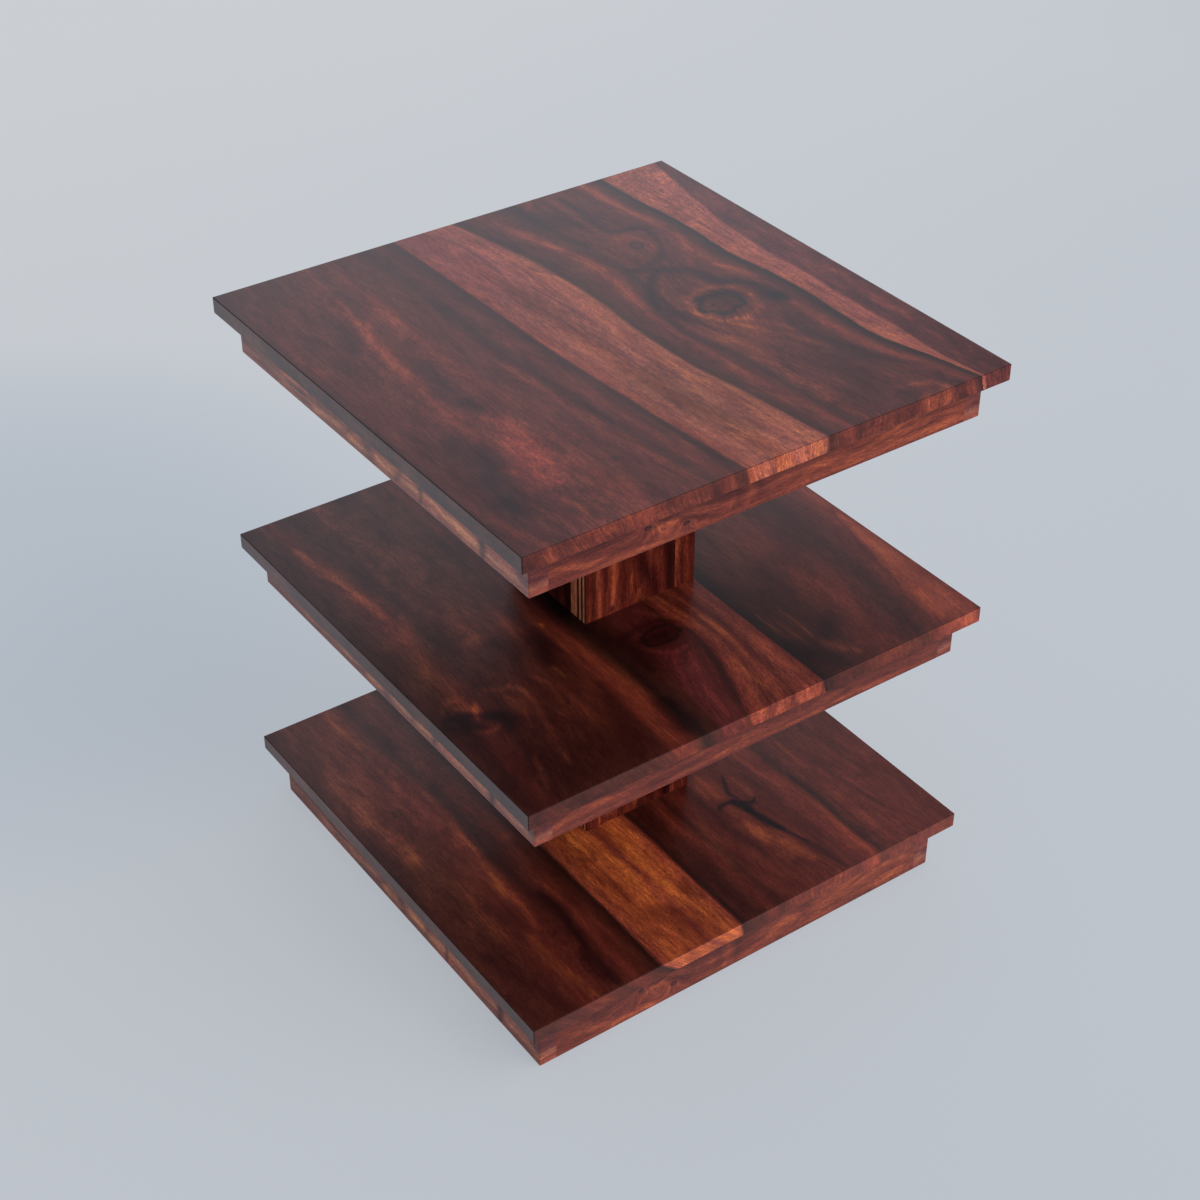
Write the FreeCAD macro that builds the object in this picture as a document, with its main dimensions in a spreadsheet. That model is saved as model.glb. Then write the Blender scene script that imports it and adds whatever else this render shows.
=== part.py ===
import FreeCAD, Part
import os
import Sketcher

# Three-tier square pedestal nightstand in solid rosewood, at real size in millimetres.
# +Z is up, the origin is on the floor under the middle of the plinth, and -Y is the front.
# Each shelf is a slab glued up from staves over a frame of four rails. Between the shelves
# stands a square box column of four boards in a pinwheel, each butted on the face of the next.

# Driving sizes: alias, value, what it measures
SIZES = (
    ("shelf_width", 500, "side to side over a slab"),
    ("shelf_depth", 500, "front to back over a slab"),
    ("slab_thickness", 16, "thickness of a slab"),
    ("slab_easing", 1.2, "width taken off a slab's edges"),
    ("apron_inset", 16, "how far the rails stand in from the slab's edge"),
    ("apron_height", 38, "height of the rails under the top and middle slabs"),
    ("plinth_height", 53, "height of the rails under the base slab"),
    ("rail_thickness", 18, "thickness of a rail"),
    ("rail_easing", 1, "width taken off a rail's edges"),
    ("lower_opening", 198, "clear height from the base slab to the middle rails"),
    ("upper_opening", 202, "clear height from the middle slab to the top rails"),
    ("column_side", 124, "outer side of the square column"),
    ("column_board", 23, "thickness of a column board"),
    ("column_easing", 1, "width taken off a column's corners"),
    ("foot_block_height", 30, "height of the block inside a column's foot"),
    ("foot_screw_spacing", 50, "side of the square of foot screws"),
    ("foot_screw_diameter", 4.5, "shank of a foot screw"),
    ("foot_screw_head", 9, "diameter of a foot screw's head"),
    ("foot_screw_head_height", 3, "height of a foot screw's head"),
    ("foot_screw_grip", 22, "how far a foot screw enters the foot block"),
    ("cleat_section", 20, "side of a head cleat's square section"),
    ("cleat_length", 100, "length of a head cleat"),
    ("screw_slack", 0.2, "room between a screw and its hole"),
    ("tip_slack", 0.5, "room beyond a screw's tip"),
    ("corner_block_leg", 36, "leg of a triangular corner block"),
    ("corner_block_setback", 8, "how far a corner block stops above the rails' lower edge"),
)

# Edges of the staves from left to right, as shares of the shelf's width
TOP_STAVE_SHARES = (0, 0.245, 0.38, 0.555, 0.87, 1)
MIDDLE_STAVE_SHARES = (0, 0.31, 0.475, 0.624, 1)
BASE_STAVE_SHARES = (0, 0.283, 0.464, 0.634, 0.83, 1)

# A wood screw's taper as a share of its length, and the small ends of its tip and of its
# pan head as shares of their large ends
TAPER_SHARE = 0.2
TIP_SHARE = 0.25
PAN_SHARE = 0.7

# Names of the four sides and corners, a quarter turn apart, seen from above
SIDES = ("front", "right", "back", "left")
CORNERS = ("front_left", "front_right", "back_right", "back_left")
QUARTER_TURN = 90

# Two coordinates closer than this are the same place
SAME_PLACE = 0.001

# The sides of a board: which bound of its box, and along which axis
BOARD_SIDES = {
    "left": ("XMin", "x"),
    "right": ("XMax", "x"),
    "front": ("YMin", "y"),
    "back": ("YMax", "y"),
    "bottom": ("ZMin", "z"),
    "top": ("ZMax", "z"),
}


doc = FreeCAD.newDocument("nightstand")
sheet = doc.addObject("Spreadsheet::Sheet", "Sizes")
for row, (alias, number, meaning) in enumerate(SIZES, 1):
    sheet.set(f"A{row}", alias)
    sheet.set(f"B{row}", str(number))
    sheet.set(f"C{row}", meaning)
    sheet.setAlias(f"B{row}", alias)
doc.recompute()

# Heights of the slabs above the floor, as expressions of the sheet
BASE_UNDERSIDE = "Sizes.plinth_height"
BASE_TOP = f"({BASE_UNDERSIDE} + Sizes.slab_thickness)"
MIDDLE_UNDERSIDE = f"({BASE_TOP} + Sizes.lower_opening + Sizes.apron_height)"
MIDDLE_TOP = f"({MIDDLE_UNDERSIDE} + Sizes.slab_thickness)"
TOP_UNDERSIDE = f"({MIDDLE_TOP} + Sizes.upper_opening + Sizes.apron_height)"

# A foot screw's hole, and how deep it goes into the foot block
FOOT_HOLE = "(Sizes.foot_screw_diameter + 2 * Sizes.screw_slack)"
FOOT_PILOT_DEPTH = "(Sizes.foot_screw_grip + Sizes.tip_slack)"

sub_parts = []


def value(expression):
    """The number that an expression of the sheet gives now."""
    return float(sheet.evalExpression(expression))


def turned(x, y, quarter):
    """A point's two expressions after quarter turns about the upright axis."""
    for _ in range(quarter):
        x, y = f"-({y})", x
    return x, y


def new_body(name, x, y, z, quarter=0):
    """A body whose own frame stands at x, y, z, carried round by quarter turns."""
    body = doc.addObject("PartDesign::Body", name)
    body.Label = name
    upright = FreeCAD.Vector(0, 0, 1)
    body.Placement = FreeCAD.Placement(
        FreeCAD.Vector(), FreeCAD.Rotation(upright, QUARTER_TURN * quarter)
    )
    x, y = turned(x, y, quarter)
    body.setExpression("Placement.Base.x", x)
    body.setExpression("Placement.Base.y", y)
    body.setExpression("Placement.Base.z", z)
    sub_parts.append(body)
    return body


def new_sketch(body):
    """An empty sketch on the underside of what the body will be, its own XY plane."""
    sketch = body.newObject("Sketcher::SketchObject", f"{body.Name}_sketch")
    support = [item for item in body.Origin.OriginFeatures if item.Role == "XY_Plane"]
    sketch.AttachmentSupport = [(support[0], "")]
    sketch.MapMode = "FlatFace"
    return sketch


def pin(sketch, geometry, point, x, y):
    """Tie a point of a sketch to its two coordinates."""
    for kind, axis, expression in (("DistanceX", -2, x), ("DistanceY", -1, y)):
        if expression == "0":
            sketch.addConstraint(Sketcher.Constraint("PointOnObject", geometry, point, axis))
            continue
        constraint = Sketcher.Constraint(kind, -1, 1, geometry, point, value(expression))
        index = sketch.addConstraint(constraint)
        sketch.setExpression(f"Constraints[{index}]", expression)


def outline(body, points):
    """A closed sketch of straight lines through points given as pairs of expressions."""
    sketch = new_sketch(body)
    corners = [FreeCAD.Vector(value(x), value(y), 0) for x, y in points]
    for start, end in zip(corners, corners[1:] + corners[:1]):
        sketch.addGeometry(Part.LineSegment(start, end))
    for index, (x, y) in enumerate(points):
        before = (index - 1) % len(points)
        sketch.addConstraint(Sketcher.Constraint("Coincident", before, 2, index, 1))
        pin(sketch, index, 1, x, y)
    return sketch


def pad(body, sketch, height):
    """The sketch raised into a solid."""
    feature = body.newObject("PartDesign::Pad", f"{body.Name}_pad")
    feature.Profile = sketch
    feature.setExpression("Length", height)
    sketch.Visibility = False
    doc.recompute()
    return feature


def board(body, length, width, thickness):
    """A plain board: length along X, width along Y and thickness upwards."""
    corners = (("0", "0"), (length, "0"), (length, width), ("0", width))
    return pad(body, outline(body, corners), thickness)


def edge_between(shape, first, second):
    """The name of a plain board's edge where two of its sides meet."""
    for number, edge in enumerate(shape.Edges, 1):
        gaps = [
            abs(getattr(vertex.Point, axis) - getattr(shape.BoundBox, bound))
            for bound, axis in (BOARD_SIDES[first], BOARD_SIDES[second])
            for vertex in edge.Vertexes
        ]
        if max(gaps) < SAME_PLACE:
            return f"Edge{number}"
    raise ValueError(f"no edge between {first} and {second}")


def ease(body, feature, pairs, width):
    """Take the sharpness off the edges where the named pairs of sides meet."""
    edges = [edge_between(feature.Shape, first, second) for first, second in pairs]
    easing = body.newObject("PartDesign::Chamfer", f"{body.Name}_easing")
    easing.Base = (feature, edges)
    easing.setExpression("Size", width)
    doc.recompute()


def drill(body, points, depth=None):
    """Foot screw holes up into a body from its underside; no depth means right through."""
    sketch = new_sketch(body)
    for index, (x, y) in enumerate(points):
        centre = FreeCAD.Vector(value(x), value(y), 0)
        sketch.addGeometry(Part.Circle(centre, FreeCAD.Vector(0, 0, 1), value(FOOT_HOLE) / 2))
        pin(sketch, index, 3, x, y)
        size = sketch.addConstraint(Sketcher.Constraint("Diameter", index, value(FOOT_HOLE)))
        sketch.setExpression(f"Constraints[{size}]", FOOT_HOLE)
    doc.recompute()
    before = body.Shape.Volume
    hole = body.newObject("PartDesign::Hole", f"{body.Name}_holes")
    hole.Profile = sketch
    hole.Threaded = False
    hole.setExpression("Diameter", FOOT_HOLE)
    hole.DrillPoint = "Flat"
    hole.Reversed = True
    hole.DepthType = "ThroughAll" if depth is None else "Dimension"
    if depth is not None:
        hole.setExpression("Depth", depth)
    sketch.Visibility = False
    doc.recompute()
    if body.Shape.Volume > before - SAME_PLACE:
        raise ValueError(f"the holes of {body.Label} cut nothing")


def foot_screw_places():
    """Where the four foot screws stand, from the column's axis."""
    place = ("-Sizes.foot_screw_spacing / 2", "-Sizes.foot_screw_spacing / 2")
    return [turned(*place, quarter) for quarter in range(len(SIDES))]


def drill_stave(body, left, right):
    """Drill through a stave those foot screw holes of the slab that touch it.

    The slab is drilled after it is glued up, so a hole may cross a joint."""
    reach = value(FOOT_HOLE) / 2
    own = [
        (f"Sizes.shelf_width / 2 - ({left}) + ({x})", f"Sizes.shelf_depth / 2 + ({y})")
        for x, y in foot_screw_places()
        if value(left) - reach < value(f"Sizes.shelf_width / 2 + ({x})") < value(right) + reach
    ]
    if own:
        drill(body, own)


def slab(shelf, underside, shares, carries_column):
    """A slab of edge-glued staves, eased all round and drilled where it carries a column."""
    for number, (left_share, right_share) in enumerate(zip(shares, shares[1:]), 1):
        left = f"Sizes.shelf_width * {left_share}"
        right = f"Sizes.shelf_width * {right_share}"
        body = new_body(
            f"{shelf}_slab_stave_{number}",
            f"{left} - Sizes.shelf_width / 2",
            "-Sizes.shelf_depth / 2",
            underside,
        )
        stave = board(body, f"{right} - {left}", "Sizes.shelf_depth", "Sizes.slab_thickness")
        pairs = [(end, face) for end in ("front", "back") for face in ("top", "bottom")]
        outer_side = {shares[0]: "left", shares[-2]: "right"}.get(left_share)
        if outer_side:
            pairs += [(outer_side, other) for other in ("top", "bottom", "front", "back")]
        ease(body, stave, pairs, "Sizes.slab_easing")
        if carries_column:
            drill_stave(body, left, right)


def rails(shelf, underside, height):
    """The frame under a slab: side rails run through, front and back rails butt between."""
    for quarter, side in enumerate(SIDES):
        runs_through = side in ("left", "right")
        if runs_through:
            along, across = "Sizes.shelf_depth", "Sizes.shelf_width"
            end = "Sizes.apron_inset"
        else:
            along, across = "Sizes.shelf_width", "Sizes.shelf_depth"
            end = "(Sizes.apron_inset + Sizes.rail_thickness)"
        body = new_body(
            f"{shelf}_{side}_rail",
            f"{end} - {along} / 2",
            f"Sizes.apron_inset - {across} / 2",
            f"{underside} - {height}",
            quarter,
        )
        rail = board(body, f"{along} - 2 * {end}", "Sizes.rail_thickness", height)
        pairs = [("front", "bottom")]
        if runs_through:
            pairs += [(end, face) for end in ("left", "right") for face in ("front", "bottom")]
        ease(body, rail, pairs, "Sizes.rail_easing")


def corner_blocks(shelf, underside, height):
    """A triangular block glued into each corner of the frame, up against the slab."""
    inside = "(Sizes.apron_inset + Sizes.rail_thickness)"
    leg = "Sizes.corner_block_leg"
    for quarter, corner in enumerate(CORNERS):
        along, across = "Sizes.shelf_width", "Sizes.shelf_depth"
        if quarter % 2:
            along, across = across, along
        body = new_body(
            f"{shelf}_corner_block_{corner}",
            f"{inside} - {along} / 2",
            f"{inside} - {across} / 2",
            f"{underside} - {height} + Sizes.corner_block_setback",
            quarter,
        )
        triangle = outline(body, (("0", "0"), (leg, "0"), ("0", leg)))
        pad(body, triangle, f"{height} - Sizes.corner_block_setback")


def column(storey, foot, head):
    """Four boards round a square hollow, with a block glued inside the foot.

    Each board starts flush with the corner and stops against the next board's face."""
    height = f"{head} - {foot}"
    for quarter, side in enumerate(SIDES):
        body = new_body(
            f"{storey}_column_{side}_board",
            "-Sizes.column_side / 2",
            "-Sizes.column_side / 2",
            foot,
            quarter,
        )
        length = "Sizes.column_side - Sizes.column_board"
        upright = board(body, length, "Sizes.column_board", height)
        ease(body, upright, [("left", "front")], "Sizes.column_easing")
    inner_side = "(Sizes.column_side - 2 * Sizes.column_board)"
    body = new_body(f"{storey}_foot_block", f"-{inner_side} / 2", f"-{inner_side} / 2", foot)
    board(body, inner_side, inner_side, "Sizes.foot_block_height")
    places = [
        (f"{inner_side} / 2 + ({x})", f"{inner_side} / 2 + ({y})")
        for x, y in foot_screw_places()
    ]
    drill(body, places, FOOT_PILOT_DEPTH)


def head_cleats(storey, underside):
    """Four square battens round a column's head, glued to it and to the slab on it."""
    for quarter, side in enumerate(SIDES):
        body = new_body(
            f"{storey}_head_cleat_{side}",
            "-Sizes.cleat_length / 2",
            "-(Sizes.column_side / 2 + Sizes.cleat_section)",
            f"{underside} - Sizes.cleat_section",
            quarter,
        )
        board(body, "Sizes.cleat_length", "Sizes.cleat_section", "Sizes.cleat_section")


def foot_screw():
    """A pan head wood screw whose head hangs below the origin, with its tip upwards."""
    length = value("Sizes.slab_thickness + Sizes.foot_screw_grip")
    shank_radius = value("Sizes.foot_screw_diameter") / 2
    head_radius = value("Sizes.foot_screw_head") / 2
    head_height = value("Sizes.foot_screw_head_height")
    profile = Part.makePolygon([
        FreeCAD.Vector(0, 0, -head_height),
        FreeCAD.Vector(head_radius * PAN_SHARE, 0, -head_height),
        FreeCAD.Vector(head_radius, 0, 0),
        FreeCAD.Vector(shank_radius, 0, 0),
        FreeCAD.Vector(shank_radius, 0, length * (1 - TAPER_SHARE)),
        FreeCAD.Vector(shank_radius * TIP_SHARE, 0, length),
        FreeCAD.Vector(0, 0, length),
        FreeCAD.Vector(0, 0, -head_height),
    ])
    full_turn = QUARTER_TURN * len(SIDES)
    return Part.Face(profile).revolve(FreeCAD.Vector(), FreeCAD.Vector(0, 0, 1), full_turn)


def foot_screws(storey, foot):
    """Four separate screws up through a slab into the foot block that stands on it."""
    screw = foot_screw()
    seat = value(f"{foot} - Sizes.slab_thickness")
    spots = [FreeCAD.Vector(value(x), value(y), seat) for x, y in foot_screw_places()]
    name = f"{storey}_foot_screws"
    feature = doc.addObject("Part::Feature", name)
    feature.Label = name
    feature.Shape = Part.makeCompound([screw.translated(spot) for spot in spots])
    feature.Placement = FreeCAD.Placement()
    sub_parts.append(feature)


# Shelves, from the floor up
for shelf, underside, shares, height, carries_column in (
    ("base", BASE_UNDERSIDE, BASE_STAVE_SHARES, "Sizes.plinth_height", True),
    ("middle", MIDDLE_UNDERSIDE, MIDDLE_STAVE_SHARES, "Sizes.apron_height", True),
    ("top", TOP_UNDERSIDE, TOP_STAVE_SHARES, "Sizes.apron_height", False),
):
    slab(shelf, underside, shares, carries_column)
    rails(shelf, underside, height)
    corner_blocks(shelf, underside, height)

# Columns with their fixings
for storey, foot, head in (
    ("lower", BASE_TOP, MIDDLE_UNDERSIDE),
    ("upper", MIDDLE_TOP, TOP_UNDERSIDE),
):
    column(storey, foot, head)
    head_cleats(storey, head)
    foot_screws(storey, foot)

# Every feature and every solid is sound before anything is written
doc.recompute()
for item in doc.Objects:
    if "Invalid" in item.State or "Error" in item.State:
        raise ValueError(f"{item.Label} failed: {item.State}")
for part in sub_parts:
    if part.Shape.isNull() or not part.Shape.isValid():
        raise ValueError(f"{part.Label} has no valid shape")

os.makedirs("parts", exist_ok=True)
for part in sub_parts:
    part.Shape.exportStep(f"parts/{part.Label}.step")
print(f"{len(sub_parts)} sub-parts, {value(TOP_UNDERSIDE + ' + Sizes.slab_thickness'):.1f} mm high")
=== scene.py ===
# %% [markdown]
# # A three-tier nightstand in oiled rosewood
#
# The real piece is a small tower. Three equal square shelves, each a slab of edge-glued staves on a
# frame of rails, are held apart by two square columns. The construction model already holds every
# board at its true size, so this lesson only dresses it: boards with really rounded edges, grain
# that flows through the wood and round its knots, screws with drive recesses, a floor and soft light.
#
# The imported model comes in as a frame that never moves. Everything is in metres in that same frame:
# +Z is up, -Y is the front, and the origin is on the floor under the middle of the plinth.

import bpy
import numpy as np
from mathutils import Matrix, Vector


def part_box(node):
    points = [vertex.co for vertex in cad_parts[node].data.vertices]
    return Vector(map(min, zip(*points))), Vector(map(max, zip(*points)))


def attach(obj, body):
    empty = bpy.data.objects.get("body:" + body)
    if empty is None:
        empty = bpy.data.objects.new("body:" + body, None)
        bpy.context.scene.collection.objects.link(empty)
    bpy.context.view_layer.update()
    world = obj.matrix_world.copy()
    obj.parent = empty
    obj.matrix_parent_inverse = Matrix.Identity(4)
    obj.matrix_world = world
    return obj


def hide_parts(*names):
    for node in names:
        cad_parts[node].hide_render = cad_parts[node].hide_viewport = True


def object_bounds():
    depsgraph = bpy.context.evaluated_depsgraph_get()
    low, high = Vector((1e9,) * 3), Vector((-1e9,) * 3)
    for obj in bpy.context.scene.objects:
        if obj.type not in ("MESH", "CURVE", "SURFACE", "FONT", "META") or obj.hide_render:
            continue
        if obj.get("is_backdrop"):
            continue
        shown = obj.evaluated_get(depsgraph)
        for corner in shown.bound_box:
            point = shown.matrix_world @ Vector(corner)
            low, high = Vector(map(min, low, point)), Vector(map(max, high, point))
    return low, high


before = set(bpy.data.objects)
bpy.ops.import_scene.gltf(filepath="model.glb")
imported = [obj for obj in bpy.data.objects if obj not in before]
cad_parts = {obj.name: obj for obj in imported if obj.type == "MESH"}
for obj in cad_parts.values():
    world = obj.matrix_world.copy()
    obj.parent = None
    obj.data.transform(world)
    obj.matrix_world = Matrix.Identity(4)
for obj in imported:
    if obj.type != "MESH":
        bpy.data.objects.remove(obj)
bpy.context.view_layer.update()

# %% [markdown]
# ## The camera
#
# The camera stands where the photograph was taken from: 36 degrees above the horizon, 35 degrees
# round to the left of straight in front, with a lens a little longer than normal. A place and a
# direction are all it needs, because the picture is level and isn't shifted.

# %% Camera
CAMERA_PLACE = Vector((-0.9688, -1.3680, 1.5018))
CAMERA_AZIMUTH = np.radians(35.25)
CAMERA_ELEVATION = np.radians(35.96)
LENS_MM = 65.37
SENSOR_MM = 36


def make_camera():
    """A level camera that looks along its azimuth and down by its elevation."""
    looking = Vector((
        np.sin(CAMERA_AZIMUTH) * np.cos(CAMERA_ELEVATION),
        np.cos(CAMERA_AZIMUTH) * np.cos(CAMERA_ELEVATION),
        -np.sin(CAMERA_ELEVATION),
    ))
    lens = bpy.data.cameras.new("camera")
    lens.lens = LENS_MM
    lens.sensor_width = SENSOR_MM
    camera = bpy.data.objects.new("camera", lens)
    camera.location = CAMERA_PLACE
    camera.rotation_mode = "QUATERNION"
    camera.rotation_quaternion = looking.to_track_quat("-Z", "Y")
    bpy.context.scene.collection.objects.link(camera)
    bpy.context.scene.camera = camera
    return camera


camera = make_camera()
print("camera", [round(place, 3) for place in camera.location])

# %% [markdown]
# ## Sums that write shader nodes
#
# A material is a graph of nodes, and plain arithmetic takes many Math nodes. This small class wraps
# one socket, so that `1 + mask * 0.5` adds the nodes by itself. Every other kind of node comes from
# its one method `node`, which makes the node's own settings first and then fills its sockets.

# %% The Wire class
class Wire:
    """A socket of a node tree that can be used in sums."""

    def __init__(self, tree, socket=None):
        self.tree = tree
        self.socket = socket

    def node(self, kind, settings=None, sockets=None, output=0):
        """Adds a node, makes its settings, then fills sockets with values or links.

        The setting "stops" gives a colour ramp its places and colours."""
        made = self.tree.nodes.new(kind)
        for name, setting in (settings or {}).items():
            if name == "stops":
                elements = made.color_ramp.elements
                elements.remove(elements[-1])
                elements[0].position, elements[0].color = setting[0]
                for place, colour in setting[1:]:
                    elements.new(place).color = colour
            else:
                setattr(made, name, setting)
        for name, given in (sockets or {}).items():
            if isinstance(given, Wire):
                self.tree.links.new(given.socket, made.inputs[name])
            else:
                made.inputs[name].default_value = given
        return Wire(self.tree, made.outputs[output])

    def math(self, operation, other, clamp=False):
        """A Math node on this socket and one more value."""
        settings = {"operation": operation, "use_clamp": clamp}
        return self.node("ShaderNodeMath", settings, {0: self, 1: other})

    def __add__(self, other):
        return self.math("ADD", other)

    def __radd__(self, other):
        return self.math("ADD", other)

    def __sub__(self, other):
        return self.math("SUBTRACT", other)

    def __mul__(self, other):
        return self.math("MULTIPLY", other)

    def __truediv__(self, other):
        return self.math("DIVIDE", other)

    def doubled(self):
        """Two to the power of this value."""
        return self.node("ShaderNodeMath", {"operation": "POWER"}, {0: 2.0, 1: self})

    def clamped(self):
        """The value kept between 0 and 1."""
        return self.math("ADD", 0.0, clamp=True)

    def step(self, start, end):
        """A smooth step from 0 at start to 1 at end."""
        return self.node(
            "ShaderNodeMapRange",
            {"interpolation_type": "SMOOTHSTEP"},
            {"Value": self, "From Min": start, "From Max": end},
        )

    def mixed(self, first, second):
        """Colour first where this value is 0 and colour second where it is 1."""
        sockets = {"Factor": self, 6: first, 7: second}
        return self.node("ShaderNodeMix", {"data_type": "RGBA"}, sockets, output=2)

    def swing(self, width):
        """Noise from 0 to 1 as a swing this wide, half of it to each side of 0."""
        return (self - 0.5) * width

    def tinted(self, red, green, blue):
        """This colour with each channel multiplied by its own value."""
        gains = self.node("ShaderNodeCombineXYZ", None, {0: red, 1: green, 2: blue})
        return self.node("ShaderNodeVectorMath", {"operation": "MULTIPLY"}, {0: self, 1: gains})

    def parts(self):
        """The three numbers of a vector, one wire each."""
        split = self.node("ShaderNodeSeparateXYZ", None, {0: self}).socket.node
        return [Wire(self.tree, output) for output in split.outputs]

    def attribute(self, name):
        """The three numbers that a mesh stores at each point under a name."""
        return self.node("ShaderNodeAttribute", {"attribute_name": name}, output=1).parts()

    def noise(self, **sockets):
        """Noise from 0 to 1 at this place, with the texture's other sockets by their names."""
        return self.node("ShaderNodeTexNoise", None, {"Vector": self, **sockets})

    def into(self, socket):
        """Links this wire to a socket of the surface shader."""
        self.tree.links.new(self.socket, socket)


def srgb(red, green, blue):
    """A colour as it reads on a screen, 0 to 255, as the linear colour that a shader takes."""
    shares = np.array((red, green, blue)) / 255
    linear = np.where(shares <= 0.04045, shares / 12.92, ((shares + 0.055) / 1.055) ** 2.4)
    return (*linear.tolist(), 1.0)


def new_material(name):
    """An empty material: its tree as a Wire, and its surface shader."""
    material = bpy.data.materials.new(name)
    material.use_nodes = True
    shader = material.node_tree.nodes["Principled BSDF"]
    return material, Wire(material.node_tree), shader


def set_surface(wire, shader, colour, roughness, height, strength, depth):
    """Gives a shader its colour, its roughness, and a bump of a strength and depth from a height."""
    colour.into(shader.inputs["Base Color"])
    roughness.into(shader.inputs["Roughness"])
    bump = {"Strength": strength, "Distance": depth, "Height": height}
    wire.node("ShaderNodeBump", None, bump).into(shader.inputs["Normal"])


print("white reads as", srgb(255, 255, 255))

# %% [markdown]
# ## Floor and light
#
# The photograph is a studio picture: a pale bluish floor without a horizon, and light so soft that
# the only shadow is a faint darkening round the plinth. A wide pale light overhead does most of it.
# One large lamp to the front right gives the light its side, and a wide one low behind lays the grey
# sheen on the tops. A floor that is lit by itself would show more shadow than the photograph does, so
# to the camera and to gloss, seven tenths of this floor is its own pale colour, and only the rest
# takes light and shadow. That colour holds painted light as well: it is drawn darker at the front
# and paler towards the back, with one soft round painted shadow behind the left side.

# %% Floor, sky and lamps
FLOOR_RADIUS = 14.0
FLOOR_RINGS = 12
FLOOR_SPOKES = 48
# Painted light: the floor is drawn darker near the front and paler towards the back.
FLOOR_NEAR_PAINTED_SHADE = srgb(184, 191, 200)
FLOOR_FAR_PAINTED_LIGHT = srgb(210, 213, 217)
FLOOR_FADE_X = -0.25
FLOOR_FADE_Y = 0.92
FLOOR_FADE = (-1.6, 2.4)
FLOOR_CLOUD_SCALE = 1.2
FLOOR_CLOUD_REACH = 0.3
FLOOR_ROUGHNESS = 0.85
FLOOR_SPECULAR = 0.2
# A soft round painted shadow on the floor, behind the left side of the piece.
FLOOR_PAINTED_SHADOW = srgb(158, 175, 194)
FLOOR_PAINTED_SHADOW_PLACE = (-0.35, 0.78)
FLOOR_PAINTED_SHADOW_RADIUS = 0.62
FLOOR_PAINTED_SHADOW_SHARE = 0.34
FLOOR_OWN_SHARE = 0.71
SKY_LOW = srgb(140, 146, 154)
SKY_MIDDLE = srgb(106, 111, 117)
SKY_OVERHEAD = srgb(216, 221, 228)
SKY_STRENGTH = 1.3
WALLS_FADE = (0.42, 0.58)
OVERHEAD_FADE = (0.72, 0.92)
KEY_LAMP = {
    "place": (1.9, -2.9, 2.5), "target": (0, 0, 0.3), "width": 4.8, "height": 4.8,
    "power": 198, "colour": srgb(255, 248, 240),
}
SHEEN_LAMP = {
    "place": (1.45, 3.0, 1.85), "target": (0, 0, 0.55), "width": 3.0, "height": 1.0,
    "power": 10, "colour": srgb(236, 243, 255),
}


def new_piece(name, points, faces):
    """A mesh object at the origin from an array of points and faces of three or four corners."""
    mesh = bpy.data.meshes.new(name)
    mesh.from_pydata(points.tolist(), [], faces if isinstance(faces, list) else faces.tolist())
    mesh.update()
    piece = bpy.data.objects.new(name, mesh)
    bpy.context.scene.collection.objects.link(piece)
    return piece


def floor_disc():
    """A disc on z = 0: ring r at spoke a lies at r (cos a, sin a), with rings closer at the middle."""
    radius = FLOOR_RADIUS * np.linspace(0, 1, FLOOR_RINGS + 1)[1:] ** 2
    angle = np.linspace(0, 2 * np.pi, FLOOR_SPOKES, endpoint=False)
    ring_x = np.outer(radius, np.cos(angle)).ravel()
    ring_y = np.outer(radius, np.sin(angle)).ravel()
    points = np.stack([ring_x, ring_y, np.zeros_like(ring_x)], -1)
    index = np.arange(len(points)).reshape(FLOOR_RINGS, FLOOR_SPOKES)
    around = np.roll(index, -1, axis=1)
    rings = np.stack([index[:-1], index[1:], around[1:], around[:-1]], -1).reshape(-1, 4)
    middle = np.stack([np.full(FLOOR_SPOKES, len(points)), index[0], around[0]], -1)
    points = np.vstack([points, np.zeros(3)])
    return new_piece("floor", points, rings.tolist() + middle.tolist())


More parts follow.
